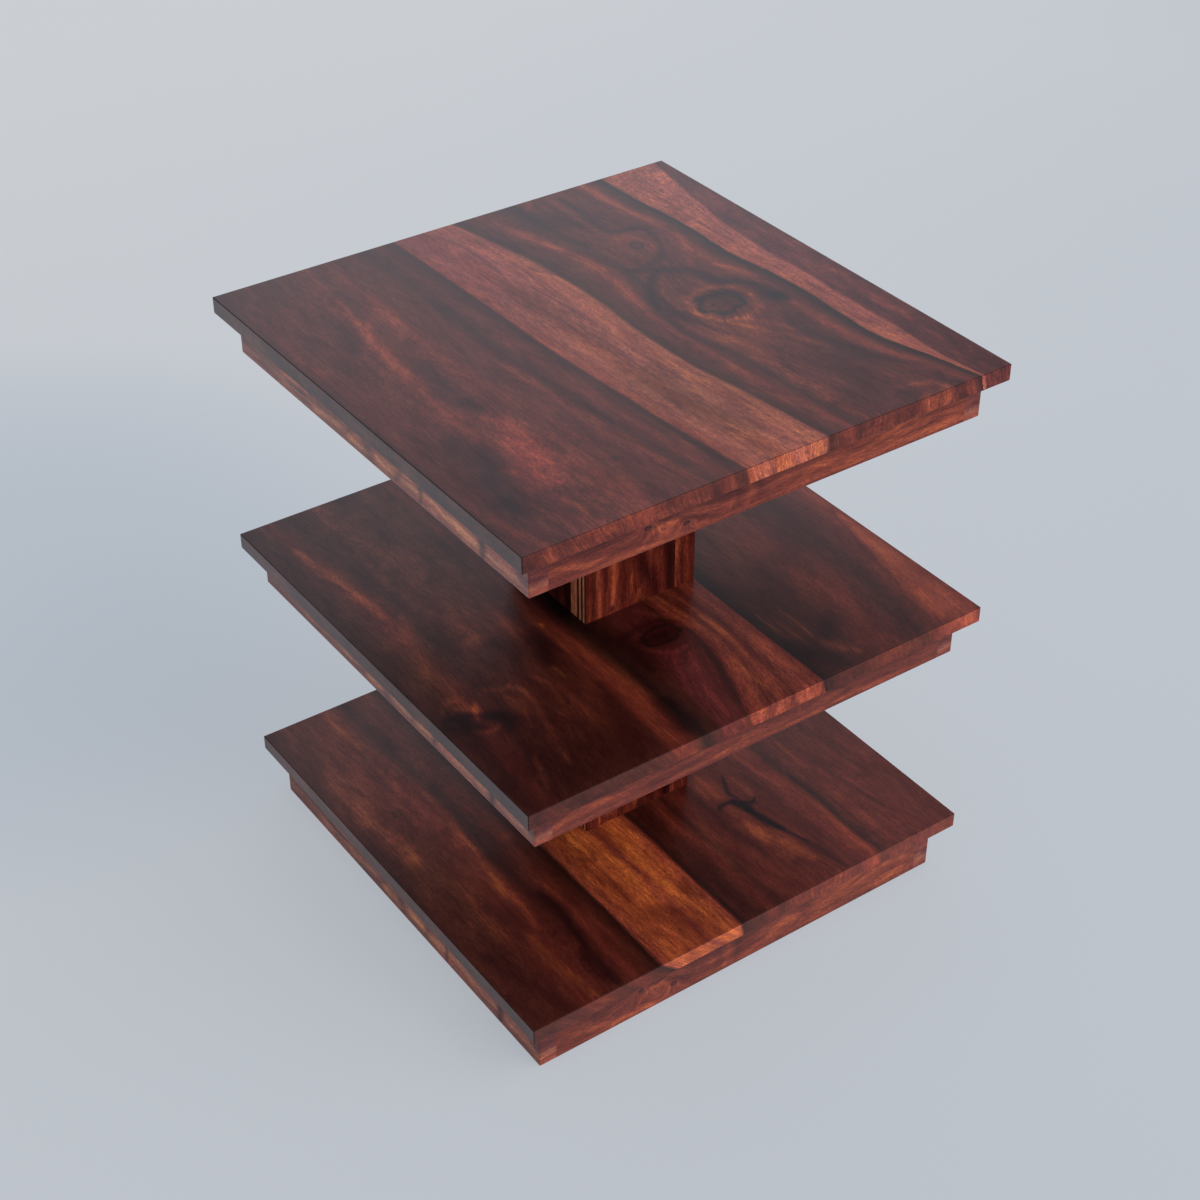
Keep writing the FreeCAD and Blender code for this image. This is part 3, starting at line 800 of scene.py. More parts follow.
# %% The base slab
BASE = {
    "lines": (
        (0, (0, 0)),
        (100, (85, 95, 104, 112, 115, 105)),
        (170, (150, 158, 178, 160, 152, 130)),
        (200, (185, 190, 198, 192, 205, 190)),
        (283, (283, 283)),
        (340, (330, 330, 335, 342, 340, 345)),
        (464, (464, 464)),
        (553, (545, 545, 548, 552, 556, 562)),
        (634, (634, 634)),
        (680, (680, 682, 684, 672, 686, 722)),
        (765, (750, 752, 755, 758, 765, 775)),
        (808, (800, 800, 804, 800, 806, 810)),
        (875, (865, 868, 870, 872, 882, 905)),
        (1000, (1000, 1000)),
    ),
    "bands": (
        (0, UMBER, 0.8), (60, UMBER, 0.8), (115, CHESTNUT, 0.8), (150, CHESTNUT, 0.8),
        (172, CHESTNUT, 0.8), (198, UMBER, 0.7), (226, CHESTNUT, 0.7),
        (266, UMBER, 0.7), (279, INK, 0.5), (285, BRICK, 1), (312, AMBER, 1),
        (348, AMBER, 1), (372, AMBER, 1), (388, BRICK, 1), (402, AMBER, 1), (418, AMBER, 1),
        (440, AMBER, 1), (461, BRICK, 0.9), (467, INK, 0.5), (480, UMBER, 0.8),
        (507, UMBER, 0.7), (530, CHESTNUT, 0.8), (553, UMBER, 0.7), (575, CHESTNUT, 0.8),
        (630, CHESTNUT, 0.8), (665, CHESTNUT, 0.8), (730, CHESTNUT, 0.8), (765, RUSSET, 0.8),
        (790, RUSSET, 0.8), (808, UMBER, 0.7), (835, CHESTNUT, 0.8), (1000, CHESTNUT, 0.8),
    ),
    "pushes": ((-8, 100, 367, 20, 24),),
    "knots": ((100, 368, 9, 11),),
    "strokes": (
        # Painted light: the first four strokes lighten the left and the back, which the middle slab
        # shades from above.
        (1.3, -0.4, 62, ((44, -60), (48, 120), (50, 300), (52, 490))),
        (0.9, -0.3, 60, ((150, -60), (150, 120), (155, 300), (155, 510))),
        (0.9, -0.3, 45, ((240, -60), (240, 200), (240, 540))),
        (0.35, -0.1, 62, ((50, 440), (50, 700), (50, 1040))),
        (0.4, -0.1, 50, ((160, 500), (150, 600), (150, 700))),
        (0.4, 0.0, 45, ((245, 560), (245, 640), (245, 720))),
        (0.3, -0.1, 40, ((442, 580), (440, 700), (440, 820))),
        (0.6, -0.2, 48, ((550, 540), (550, 680), (550, 840))),
        (0.3, -0.1, 48, ((650, 590), (650, 700), (650, 810))),
        (0.35, -0.1, 210, ((780, 520), (780, 800), (780, 1080))),
        (-0.4, 0.0, 48, ((752, 640), (756, 800), (760, 1060))),
        (0.6, -0.3, 50, ((48, 190), (50, 340), (50, 420))),
        (0.3, -0.2, 50, ((150, 290), (150, 360), (150, 440))),
        (0.25, 0.0, 60, ((60, 480), (90, 540), (100, 600))),
        (0.5, 0.2, 9, ((133, 20), (136, 90), (142, 150))),
        (0.5, 0.2, 10, ((178, 340), (176, 400), (172, 470), (168, 540))),
        (0.6, -0.1, 15, ((172, 540), (160, 610), (158, 660), (160, 730), (148, 790))),
        (0.6, 0.4, 8, ((158, 615), (152, 650), (146, 690))),
        (0.5, 0.5, 12, ((128, 800), (122, 880), (135, 940), (140, 990))),
        (0.4, -0.1, 10, ((225, 700), (228, 800), (222, 900), (228, 990))),
        (0.4, -0.1, 7, ((255, 760), (250, 860), (256, 960))),
        (0.4, -0.1, 8, ((62, 400), (68, 470), (60, 540))),
        (0.3, 0.0, 10, ((90, 640), (85, 720), (92, 790))),
        (0.2, 0.0, 26, ((352, 600), (356, 660), (350, 720))),
        (0.34, -0.1, 85, ((385, 540), (388, 740), (392, 860))),
        (-0.5, 0.0, 3, ((330, 600), (334, 720), (330, 860))),
        (-0.4, 0.0, 3, ((430, 620), (434, 760), (430, 900))),
        (0.5, 0.1, 56, ((50, 500), (60, 630), (76, 770))),
        (0.4, 0.2, 10, ((368, 690), (374, 750), (372, 810), (365, 860))),
        (0.3, 0.3, 6, ((414, 630), (416, 700), (412, 780), (418, 860), (428, 940))),
        (0.4, 0.3, 8, ((340, 610), (335, 640), (345, 665))),
        (-0.5, 0.0, 60, ((350, 880), (370, 940), (380, 1000))),
        (0.4, -0.2, 12, ((330, 900), (345, 950), (330, 990))),
        (0.7, 0.1, 16, ((648, 620), (642, 660), (655, 700))),
        (0.7, 0.3, 20, ((640, 785), (652, 830), (672, 880), (690, 940))),
        (0.5, 0.3, 9, ((702, 655), (710, 700), (705, 740))),
        (0.6, 0.1, 7, ((752, 605), (760, 670), (770, 735))),
        (0.45, 0.1, 9, ((792, 790), (795, 870), (790, 940), (798, 990))),
        (0.4, 0.1, 5, ((848, 620), (850, 690))),
        (0.4, 0.2, 5, ((566, 860), (568, 920), (572, 985))),
        (0.3, 0.0, 10, ((845, 780), (852, 860), (848, 940))),
        (-0.9, 0.0, 12, ((204, 710), (210, 770), (200, 840), (198, 885))),
        (-0.8, 0.0, 18, ((185, 880), (182, 930), (192, 985))),
        (-0.5, 0.0, 24, ((30, 800), (50, 870), (75, 940), (80, 990))),
        (-0.4, 0.0, 24, ((100, 690), (118, 730), (110, 790))),
        (-0.3, 0.0, 24, ((30, 380), (38, 440), (30, 500))),
        (-0.6, 0.0, 9, ((345, 655), (352, 672), (340, 700), (318, 680))),
        (-0.5, 0.0, 14, ((320, 740), (335, 790), (325, 830))),
        (-0.6, 0.0, 14, ((452, 840), (440, 870), (450, 900))),
        (-0.5, 0.0, 5, ((392, 640), (390, 720), (394, 800))),
        (-0.6, 0.0, 6, ((553, 620), (550, 690), (556, 750))),
        (-0.5, 0.0, 16, ((600, 610), (610, 700), (612, 790), (622, 880))),
        (-2.0, 0.0, 4, ((678, 718), (672, 696), (682, 672), (694, 644))),
        (-2.4, 0.0, 4, ((668, 724), (648, 716), (624, 722))),
        (-2.2, 0.0, 4, ((676, 730), (694, 744), (706, 736))),
        (-3.4, 0.0, 9, ((664, 716), (674, 740), (676, 762))),
        (-3.2, 0.0, 7, ((672, 752), (680, 782), (686, 812), (696, 842))),
        (-1.6, 0.0, 4, ((686, 815), (700, 860), (712, 900))),
        (-0.9, 0.0, 8, ((706, 880), (718, 930), (728, 995))),
        (-0.6, 0.0, 6, ((806, 720), (812, 820), (804, 900), (812, 990))),
        (-0.6, 0.0, 5, ((872, 690), (880, 760), (888, 830), (902, 905))),
        (-0.4, 0.0, 5, ((930, 620), (934, 720), (945, 800))),
    ),
    "wiped": (
        (0.25, 80, 600, 160, 200), (0.4, 570, 780, 150, 300), (0.45, 300, 860, 260, 240),
    ),
    "slants": (1.2, 1.2, 0.2, 0.2, 0.3),
}
print("the base slab has", len(BASE["strokes"]), "strokes")

# %% [markdown]
# ## The finish
#
# The shader reads the layer, and colours it by the band it is in. Noise adds what no drawing could:
# a soft mottle three or four times longer than wide, finer streaks, threads, flecks and pores. All
# of them act on one tone, which doubles the colour at +1 and halves it at -1. Light wood turns
# towards orange and dark wood towards plum, as in the photograph. Pores sink into the surface, as
# real ones do. The wood itself is dull: the sheen is a film of oil laid over it, uneven, and thinner
# where end grain has drunk it.

# %% The rosewood shader
# The size of each noise in millimetres: across the layers, along the grain and in depth
BEND_SIZE = (45, 120, 60)
MOTTLE_SIZE = (15, 52, 15)
STREAK_SIZE = (2.2, 14, 16)
THREAD_SIZE = (1.4, 55, 30)
FLECK_SIZE = (1.0, 4.2, 2.2)
SWIRL_SIZE = (13, 15, 30)

# How far the layers bend, and how ragged streaks and bend make the edges of the bands
BEND_WIDTH = 14 * MM
STREAK_RAGGED = 2.0 * MM
BEND_RAGGED = 3.0 * MM

# The rings of a knot, where they end, and how far swirl and streaks unsettle them
RING_STOPS = (
    (0.00, CHESTNUT), (0.25, UMBER), (0.45, CHESTNUT), (0.70, UMBER), (0.82, INK),
    (0.94, UMBER), (1.00, CHESTNUT),
)
RING_END = (1.15, 0.85)
RING_SWIRL = 0.9
RING_STREAKS = 0.3

# How many doublings each noise swings through, and how many a pore, a rounded edge or a seam takes
# off; the edge's darkening is partly rubbing and partly painted shade
MOTTLE_TONE = 3.0
STREAK_TONE = 2.6
THREAD_TONE = 1.4
FLECK_TONE = 3.2
SHADE_TONE = 0.9
PORE_FADE = (0.60, 0.70)
PORE_DARK = 0.5
EDGE_WEAR_AND_SHADE_DARK = 2.0
SEAM_DARK = 0.6

# What tone and warmth do to green and blue, where red follows the tone itself
GREEN_BY_TONE = 1.2
GREEN_BY_WARMTH = 0.45
BLUE_BY_TONE = 0.8
BLUE_BY_WARMTH = 0.5

# The roughness of the wood and what changes it, and the same for the film of oil
GLOSS = 0.34
MOTTLE_ROUGHER = 0.15
PORE_ROUGHER = 0.12
WORN_ROUGHER = 0.3
OIL_EVEN = 0.7
OIL_BY_MOTTLE = 0.6
PORE_DRIER = 0.1
WORN_DRIER = 0.5

# The relief of streaks, flecks and pores
STREAK_RELIEF = 0.5
FLECK_RELIEF = 0.3
PORE_RELIEF = 0.6
WOOD_BUMP = 0.3
WOOD_BUMP_DEPTH = 0.08 * MM


def grain_noise(grain, size, detail=2.0, roughness=0.55, distortion=0.0):
    """Noise in [0, 1] with features of a size across the layers, along the grain and in depth."""
    scaled = [wire / (length * MM) for wire, length in zip(grain, size)]
    place = scaled[0].node("ShaderNodeCombineXYZ", None, dict(zip("XYZ", scaled)))
    return place.noise(Scale=1.0, Detail=detail, Roughness=roughness, Distortion=distortion)


def rosewood(name, bands, span, curl=1.0, shine=1.25):
    """Oiled rosewood whose bands of colour follow the layers, from 0 to span.

    curl is how much the layers waver, and shine is the IOR of the wood under the oil."""
    material, wire, shader = new_material(name)
    layer, along, depth = wire.attribute("grain")
    shade, warmth, edge_wear_and_light = wire.attribute("figure")
    knot, seam, film = wire.attribute("marks")

    bend = grain_noise((layer, along, depth), BEND_SIZE)
    bent = (layer + bend.swing(BEND_WIDTH * curl), along, depth)
    mottle = grain_noise(bent, MOTTLE_SIZE, detail=6.0, roughness=0.66, distortion=0.4)
    streaks = grain_noise(bent, STREAK_SIZE, detail=3.0, roughness=0.65)
    threads = grain_noise(bent, THREAD_SIZE, detail=1.0)
    flecks = grain_noise(bent, FLECK_SIZE)
    swirl = grain_noise((layer, along, depth), SWIRL_SIZE)

    ragged = streaks.swing(STREAK_RAGGED * curl) + bend.swing(BEND_RAGGED * curl)
    share = (layer + ragged) / (span * UNIT)
    stops = [(place / span, (*colour[:3], lively)) for place, colour, lively in bands]
    colour = share.node("ShaderNodeValToRGB", {"stops": stops}, {0: share})
    lively = Wire(wire.tree, colour.socket.node.outputs["Alpha"])

    ring = knot + swirl.swing(RING_SWIRL) + streaks.swing(RING_STREAKS)
    ring_colour = ring.node("ShaderNodeValToRGB", {"stops": RING_STOPS}, {0: ring})
    colour = ring.step(*RING_END).mixed(colour, ring_colour)

    fine = streaks.swing(STREAK_TONE) + threads.swing(THREAD_TONE) + flecks.swing(FLECK_TONE)
    tone = lively * (mottle.swing(MOTTLE_TONE) + fine) + shade * (SHADE_TONE + mottle)
    pore = flecks.step(*PORE_FADE)
    # Rounded edges are drawn darker, partly rubbed and partly painted shade, and lighter where the value
    # is negative, a painted highlight.
    tone = tone - lively * pore * PORE_DARK - edge_wear_and_light * EDGE_WEAR_AND_SHADE_DARK - seam * SEAM_DARK
    colour = colour.tinted(
        tone.doubled(),
        (tone * GREEN_BY_TONE + warmth * GREEN_BY_WARMTH).doubled(),
        (tone * BLUE_BY_TONE - warmth * BLUE_BY_WARMTH).doubled(),
    )

    oil = film * (OIL_EVEN + mottle * OIL_BY_MOTTLE) - pore * PORE_DRIER - edge_wear_and_light * WORN_DRIER
    oil.clamped().into(shader.inputs["Coat Weight"])
    shader.inputs["Coat Roughness"].default_value = GLOSS
    shader.inputs["IOR"].default_value = shine
    roughness = GLOSS + mottle.swing(MOTTLE_ROUGHER) + pore * PORE_ROUGHER + edge_wear_and_light * WORN_ROUGHER
    height = streaks * STREAK_RELIEF + flecks * FLECK_RELIEF - pore * PORE_RELIEF
    set_surface(wire, shader, colour, roughness, height, WOOD_BUMP, WOOD_BUMP_DEPTH)
    return material


print("knot rings:", len(RING_STOPS))

# %% [markdown]
# ## Dressing a board
#
# A board's own directions are across its face, along its grain, and down into it. The fields are
# worked out in those directions, so one function serves slabs, rails and columns.

# %% From a node to a figured board
EDGE_TURN_GAIN = 4.0
# Painted light turns a colour rosier as well as paler.
PAINTED_LIGHT_WARMTH = -0.3


def dress(node, easing, eased, spacing):
    """A rounded board in the place of a CAD node, with its points and how far each has turned."""
    low, high = (np.array(corner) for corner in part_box(node))
    points, faces, turned = board_shell(low, high, easing, eased, spacing)
    piece = new_piece(f"{node}_board", points, faces)
    smooth_with_sharp_corners(piece)
    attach(piece, "root")
    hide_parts(node)
    return piece, points, turned


def own_directions(points, across, along, down, origin=None):
    """The points measured in a board's own directions, from its lowest place or an origin."""
    local = points @ np.array((across, along, down), float).T
    start = local.min(0) if origin is None else origin
    return ((local - start) / UNIT).T


def figure_board(
    piece, material, drawing, local, turned,
    slant=0.0, seam=0.0, film=0.0, painted_light=0.0, edge_wear_and_light_scale=1.0, other=0.0,
):
    """Stores the grain and figure of a board, from its drawing and its points' own directions.

    film is how much oil lies on it. lift is painted light: how much paler and rosier it is drawn than
    its drawing, for light that falls on it, and painted shade where it is negative. wear is how dark
    its rounded edges are, partly rubbed and partly painted shade, or how light where it is negative,
    a painted highlight. other moves the fine grain, so that two boards of one drawing differ."""
    across, along, depth = local
    across = across - slant * depth
    layer = layer_of(drawing["lines"], across, along / drawing.get("length", SLAB_SPAN))
    for push, *spot in drawing["pushes"]:
        layer += push * hill(across, along, spot)
    # Painted light, or painted shade where it is negative, starts the tone of every point.
    shade = np.zeros_like(across) + painted_light
    warmth = PAINTED_LIGHT_WARMTH * shade
    for strength, warm, half_width, places in drawing["strokes"]:
        laid = stroke(across, along, half_width, places)
        shade += strength * laid
        warmth += warm * laid
    knot = distance_to_knots(across, along, drawing["knots"])
    # The rounded edges: partly rubbed and partly painted shade, and a painted highlight where negative.
    edge_wear_and_light = np.minimum(turned * EDGE_TURN_GAIN, 1) * edge_wear_and_light_scale
    set_attribute(piece.data, "grain", (layer * UNIT, along * UNIT + other, depth * UNIT))
    set_attribute(piece.data, "figure", (shade, warmth, edge_wear_and_light))
    set_attribute(piece.data, "marks", (knot, seam + 0 * knot, film + 0 * knot))
    piece.data.materials.append(material)


print("the fields of a board: grain, figure, marks")

# %% Dress the slabs
SLAB_EASING = 0.8 * MM
SLAB_SPACING = (1.8 * MM, 3.2 * MM, 4 * MM)
RIGHT = (1, 0, 0)
LEFT = (-1, 0, 0)
BACK = (0, 1, 0)
FRONT = (0, -1, 0)
UP = (0, 0, 1)
DOWN = (0, 0, -1)
FILM_ON_FLAT = {"top": 0.55, "middle": 0.5, "base": 0.5}
FILM_ON_SIDES = {"top": 0.86, "middle": 0.74, "base": 0.54}
FILM_ON_ENDS = 0.28
# Painted light: a slab's long sides and its ends are drawn paler than its flat, for the light that falls
# on them.
PAINTED_LIGHT_ON_SIDES = {"top": 0.85, "middle": 0.6, "base": 0.6}
PAINTED_LIGHT_ON_ENDS = {"top": 0.42, "middle": 0.68, "base": 0.66}
STAVE_SHIFT = 0.37


def from_flat_to_edges(points, half, flat, sides, ends):
    """A value that changes over a slab's easing, from its flat to its long sides and its ends."""
    at_side = np.clip(1 - (half - np.abs(points[:, 0])) / SLAB_EASING, 0, 1)
    at_end = np.clip(1 - (half - np.abs(points[:, 1])) / SLAB_EASING, 0, 1)
    value = flat + (sides - flat) * at_side
    return value + (ends - value) * at_end


def dress_slab(shelf, drawing):
    """All the staves of one slab, which share its drawing."""
    material = rosewood(f"rosewood_{shelf}_slab", drawing["bands"], SLAB_SPAN)
    staves = sorted(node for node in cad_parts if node.startswith(f"{shelf}_slab_stave"))
    slab_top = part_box(staves[0])[1][2]
    half = -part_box(staves[0])[0][0]
    for number, node in enumerate(staves):
        eased = {"front", "back", "bottom", "top"}
        if number == 0:
            eased.add("left")
        if number == len(staves) - 1:
            eased.add("right")
        piece, points, turned = dress(node, SLAB_EASING, eased, SLAB_SPACING)
        local = own_directions(points, RIGHT, FRONT, DOWN, (-half, -half, -slab_top))
        left, right = (corner[0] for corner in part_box(node))
        joint = np.minimum(points[:, 0] - left, right - points[:, 0]) < SEAM / 2
        outside = np.abs(points[:, 0]) > half - SEAM
        seam = (joint & ~outside).astype(float)
        film = from_flat_to_edges(
            points, half, FILM_ON_FLAT[shelf], FILM_ON_SIDES[shelf], FILM_ON_ENDS)
        for share, *spot in drawing["wiped"]:
            film = film * (1 - share * hill(local[0], local[1], spot))
        # Painted light on the long sides and the ends, none on the flat.
        painted_light = from_flat_to_edges(points, half, 0.0, PAINTED_LIGHT_ON_SIDES[shelf], PAINTED_LIGHT_ON_ENDS[shelf])
        figure_board(
            piece, material, drawing, local, turned,
            slant=drawing["slants"][number], seam=seam, film=film,
            painted_light=painted_light, other=number * STAVE_SHIFT,
        )
    print(shelf, "slab:", len(staves), "staves")


dress_slab("top", TOP)
dress_slab("middle", MIDDLE)
dress_slab("base", BASE)

# %% [markdown]
# ## The rails
#
# Rails are sawn along the grain, so their figure runs level, curly and reddish, with small knots.
# The side rails run through to the front, and there their own end grain shows as a strip.
# Places run up from a rail's lower edge, 0 to 106, and along it from its left end, as seen from
# outside. The plinth's rails are the tallest, and the others have the same drawing, pressed together
# to their height.

# %% Drawings of the rails
RAIL_SPAN = 106
FRONT_RAIL = {
    "length": 864,
    "lines": (
        (0, (0, 0)),
        (30, (28, 18, 34, 40, 28, 36, 40, 26, 34, 46, 36)),
        (70, (64, 76, 80, 88, 68, 62, 82, 66, 60, 80, 72)),
        (106, (106, 106)),
    ),
    "bands": (
        (0, RUSSET, 0.9), (12, BRICK, 1), (24, RUSSET, 1), (42, BRICK, 1), (55, RUSSET, 1),
        (68, RUSSET, 1), (90, BRICK, 1), (106, RUSSET, 1),
    ),
    "pushes": ((-20, 60, 189, 20, 22), (-16, 34, 266, 18, 20), (16, 30, 225, 26, 24)),
    "knots": ((60, 189, 6, 7), (33, 266, 6, 8)),
    "strokes": (
        (0.6, 0.0, 6, ((16, 180), (40, 194), (52, 220), (46, 246), (24, 256))),
        (0.4, 0.0, 14, ((10, 205), (26, 226), (12, 248))),
        (-0.5, 0.0, 7, ((60, 206), (66, 236), (50, 262), (34, 290))),
        (-0.4, 0.0, 12, ((70, 290), (60, 330), (72, 370))),
        (-0.3, 0.0, 8, ((24, 290), (40, 320), (30, 350))),
        (-0.4, 0.0, 9, ((20, 362), (46, 374), (84, 368))),
        (0.4, 0.1, 8, ((14, 386), (44, 398), (76, 390))),
        (-0.4, 0.0, 8, ((20, 412), (44, 420), (72, 412))),
        (0.4, 0.1, 9, ((30, 500), (42, 540), (24, 580))),
        (-0.5, 0.0, 6, ((20, 560), (34, 574), (22, 596))),
        (-0.3, 0.0, 8, ((70, 440), (60, 500), (72, 560), (60, 620))),
        (0.6, 0.1, 8, ((46, 650), (58, 700), (70, 735), (58, 760))),
        (0.3, 0.1, 12, ((20, 600), (30, 700), (22, 800), (34, 860))),
        (0.3, 0.1, 60, ((50, 480), (50, 640), (50, 900))),
        (0.5, 0.1, 6, ((58, 4), (38, 40), (24, 90), (14, 150), (8, 220))),
        (0.3, 0.1, 7, ((6, 60), (4, 160), (6, 300))),
        (-0.4, 0.0, 10, ((74, 40), (66, 100), (78, 160))),
        (-0.3, 0.0, 7, ((44, 80), (36, 130), (44, 170))),
        (-0.4, 0.0, 5, ((30, 640), (40, 690), (28, 740), (40, 800))),
    ),
}
MIDDLE_FRONT_RAIL = {
    "length": 864,
    "lines": (
        (0, (0, 0)),
        (34, (24, 40, 30, 36, 42, 32, 28, 36, 44, 34, 30)),
        (74, (70, 84, 72, 66, 78, 84, 70, 74, 60, 78, 82)),
        (106, (106, 106)),
    ),
    "bands": FRONT_RAIL["bands"],
    "pushes": ((-12, 96, 66, 14, 16),),
    "knots": (),
    "strokes": (
        (0.4, 0.1, 22, ((30, 0), (50, 50), (44, 110))),
        (-0.7, 0.0, 8, ((98, 48), (92, 74), (98, 96))),
        (0.4, 0.1, 7, ((78, 110), (60, 180), (66, 250))),
        (-0.3, 0.0, 10, ((20, 150), (34, 240), (24, 330))),
        (0.3, 0.1, 8, ((16, 340), (34, 420), (22, 500))),
        (-0.3, 0.0, 12, ((70, 330), (58, 420), (74, 500))),
        (-0.5, 0.0, 14, ((96, 580), (66, 620), (34, 650))),
        (-0.3, 0.0, 12, ((40, 660), (52, 740), (40, 820))),
        (0.4, 0.1, 6, ((20, 600), (12, 700), (22, 800))),
        (0.3, 0.1, 8, ((70, 680), (80, 740), (66, 800))),
    ),
}
SIDE_RAIL = {
    "length": 936,
    "lines": (
        (0, (0, 0)),
        (26, (24, 28, 22, 20, 30, 26, 24, 32, 28, 22, 26)),
        (66, (70, 62, 60, 70, 74, 66, 60, 66, 72, 70, 66)),
        (106, (106, 106)),
    ),
    # Painted light: the side rails' bands are drawn rosier and paler than the front rails', for the light
    # that falls on the sides.
    "bands": (
        (0, ROSE, 1), (14, SALMON, 1), (26, PAINTED_LIGHT_TAN, 1), (40, ROSE, 1), (56, SALMON, 1),
        (78, ROSE, 1), (106, BRICK, 1),
    ),
    "pushes": ((14, 30, 412, 24, 40), (-10, 30, 650, 24, 30)),
    "knots": (),
    "strokes": (
        (-0.6, 0.0, 50, ((50, -20), (50, 60), (50, 130))),
        (0.4, 0.1, 16, ((44, 165), (46, 200), (44, 245))),
        (-1.4, 0.0, 5, ((36, 165), (32, 200), (35, 248))),
        (-1.0, 0.0, 4, ((20, 180), (16, 220), (20, 266))),
        (0.6, 0.2, 14, ((22, 386), (36, 412), (28, 438))),
        (-0.6, 0.0, 9, ((8, 290), (14, 350), (36, 390), (60, 400))),
        (-0.6, 0.0, 16, ((70, 438), (34, 450), (0, 466))),
        (0.4, 0.1, 24, ((30, 480), (34, 510), (28, 535))),
        (-0.5, 0.0, 8, ((10, 540), (34, 552), (60, 560))),
        (0.4, 0.1, 24, ((30, 570), (36, 590), (30, 610))),
        (-1.0, 0.0, 6, ((0, 618), (40, 620), (90, 616))),
        (0.3, -0.1, 26, ((30, 640), (34, 700), (30, 780))),
        (-1.5, 0.0, 10, ((0, 804), (40, 806), (90, 803))),
        (0.2, -0.2, 16, ((30, 822), (32, 850), (30, 890))),
        (-0.9, 0.0, 12, ((70, 896), (34, 925), (70, 940))),
    ),
}
RAIL_EASING = 1.0 * MM
RAIL_SPACING = 2.4 * MM
RAIL_DEPTH_SPACING = 3 * MM
FACING = {
    "front": (RIGHT, BACK),
    "right": (BACK, LEFT),
    "back": (LEFT, FRONT),
    "left": (FRONT, RIGHT),
}
FILM_ON_SIDE_RAILS = {"top": 0.74, "middle": 0.42, "base": 0.0}
# Painted light: how much paler the side rails are drawn between their ends.
PAINTED_LIGHT_ON_SIDE_RAILS = {"top": 0.5, "middle": 0.25, "base": 0.35}
FILM_ON_FRONT_RAILS = 0.24
# Painted highlight: the rails' rounded edges are drawn lighter.
RAIL_EDGE_PAINTED_HIGHLIGHT = -0.2
RAIL_END = 1
SHELF_SHIFT = 0.53
SIDE_SHIFT = 1.3
SHELVES = ("top", "middle", "base")
rail_materials = {
    "front": rosewood("rosewood_front_rails", FRONT_RAIL["bands"], RAIL_SPAN, curl=0.6),
    "left": rosewood("rosewood_side_rails", SIDE_RAIL["bands"], RAIL_SPAN, curl=0.5),
}
rail_materials["back"] = rail_materials["front"]
rail_materials["right"] = rail_materials["left"]


def dress_rail(shelf, side, other):
    """One rail, whose grain runs along it.

    A side rail's two ends are end grain, so oil and lift, its painted light, stop at RAIL_END from them."""
    node = f"{shelf}_{side}_rail"
    along, down = FACING[side]
    if side in ("left", "right"):
        drawing = SIDE_RAIL
        spacing = (RAIL_DEPTH_SPACING, RAIL_SPACING, RAIL_SPACING)
        eased = {side, "bottom", "front", "back"}
    else:
        drawing = MIDDLE_FRONT_RAIL if shelf == "middle" else FRONT_RAIL
        spacing = (RAIL_SPACING, RAIL_DEPTH_SPACING, RAIL_SPACING)
        eased = {side, "bottom"}
    piece, points, turned = dress(node, RAIL_EASING, eased, spacing)
    local = own_directions(points, UP, along, down)
    local[0] *= RAIL_SPAN / local[0].max()
    film = np.full_like(local[0], FILM_ON_FRONT_RAILS)
    painted_light = 0 * film
    if side in ("left", "right"):
        # Between its ends a side rail takes painted light as well as its oil.
        between_ends = np.minimum(local[1], local[1].max() - local[1]) > RAIL_END
        film[between_ends] = FILM_ON_SIDE_RAILS[shelf]
        painted_light[between_ends] = PAINTED_LIGHT_ON_SIDE_RAILS[shelf]
    figure_board(
        piece, rail_materials[side], drawing, local, turned,
        film=film, painted_light=painted_light, edge_wear_and_light_scale=RAIL_EDGE_PAINTED_HIGHLIGHT, other=other,
    )


for number, shelf in enumerate(SHELVES):
    for turn, side in enumerate(FACING):
        dress_rail(shelf, side, number * SHELF_SHIFT + turn * SIDE_SHIFT)
print("rails:", len(SHELVES) * len(FACING))

# %% [markdown]
# ## The columns
#
# Each column is a box of four boards that meet in a pinwheel: every board's face covers the edge of
# one neighbour, and its own edge shows beside the other. The grain stands upright, red and flamed.
# Where the layers are tilted in a board, its edge shows them as fine upright stripes. Those stripes
# are drawn pale tan, painted light, and paler still on the front board's edge, which shows on the
# shaded left face, while the edges of the back and left boards are drawn darker, painted shade.

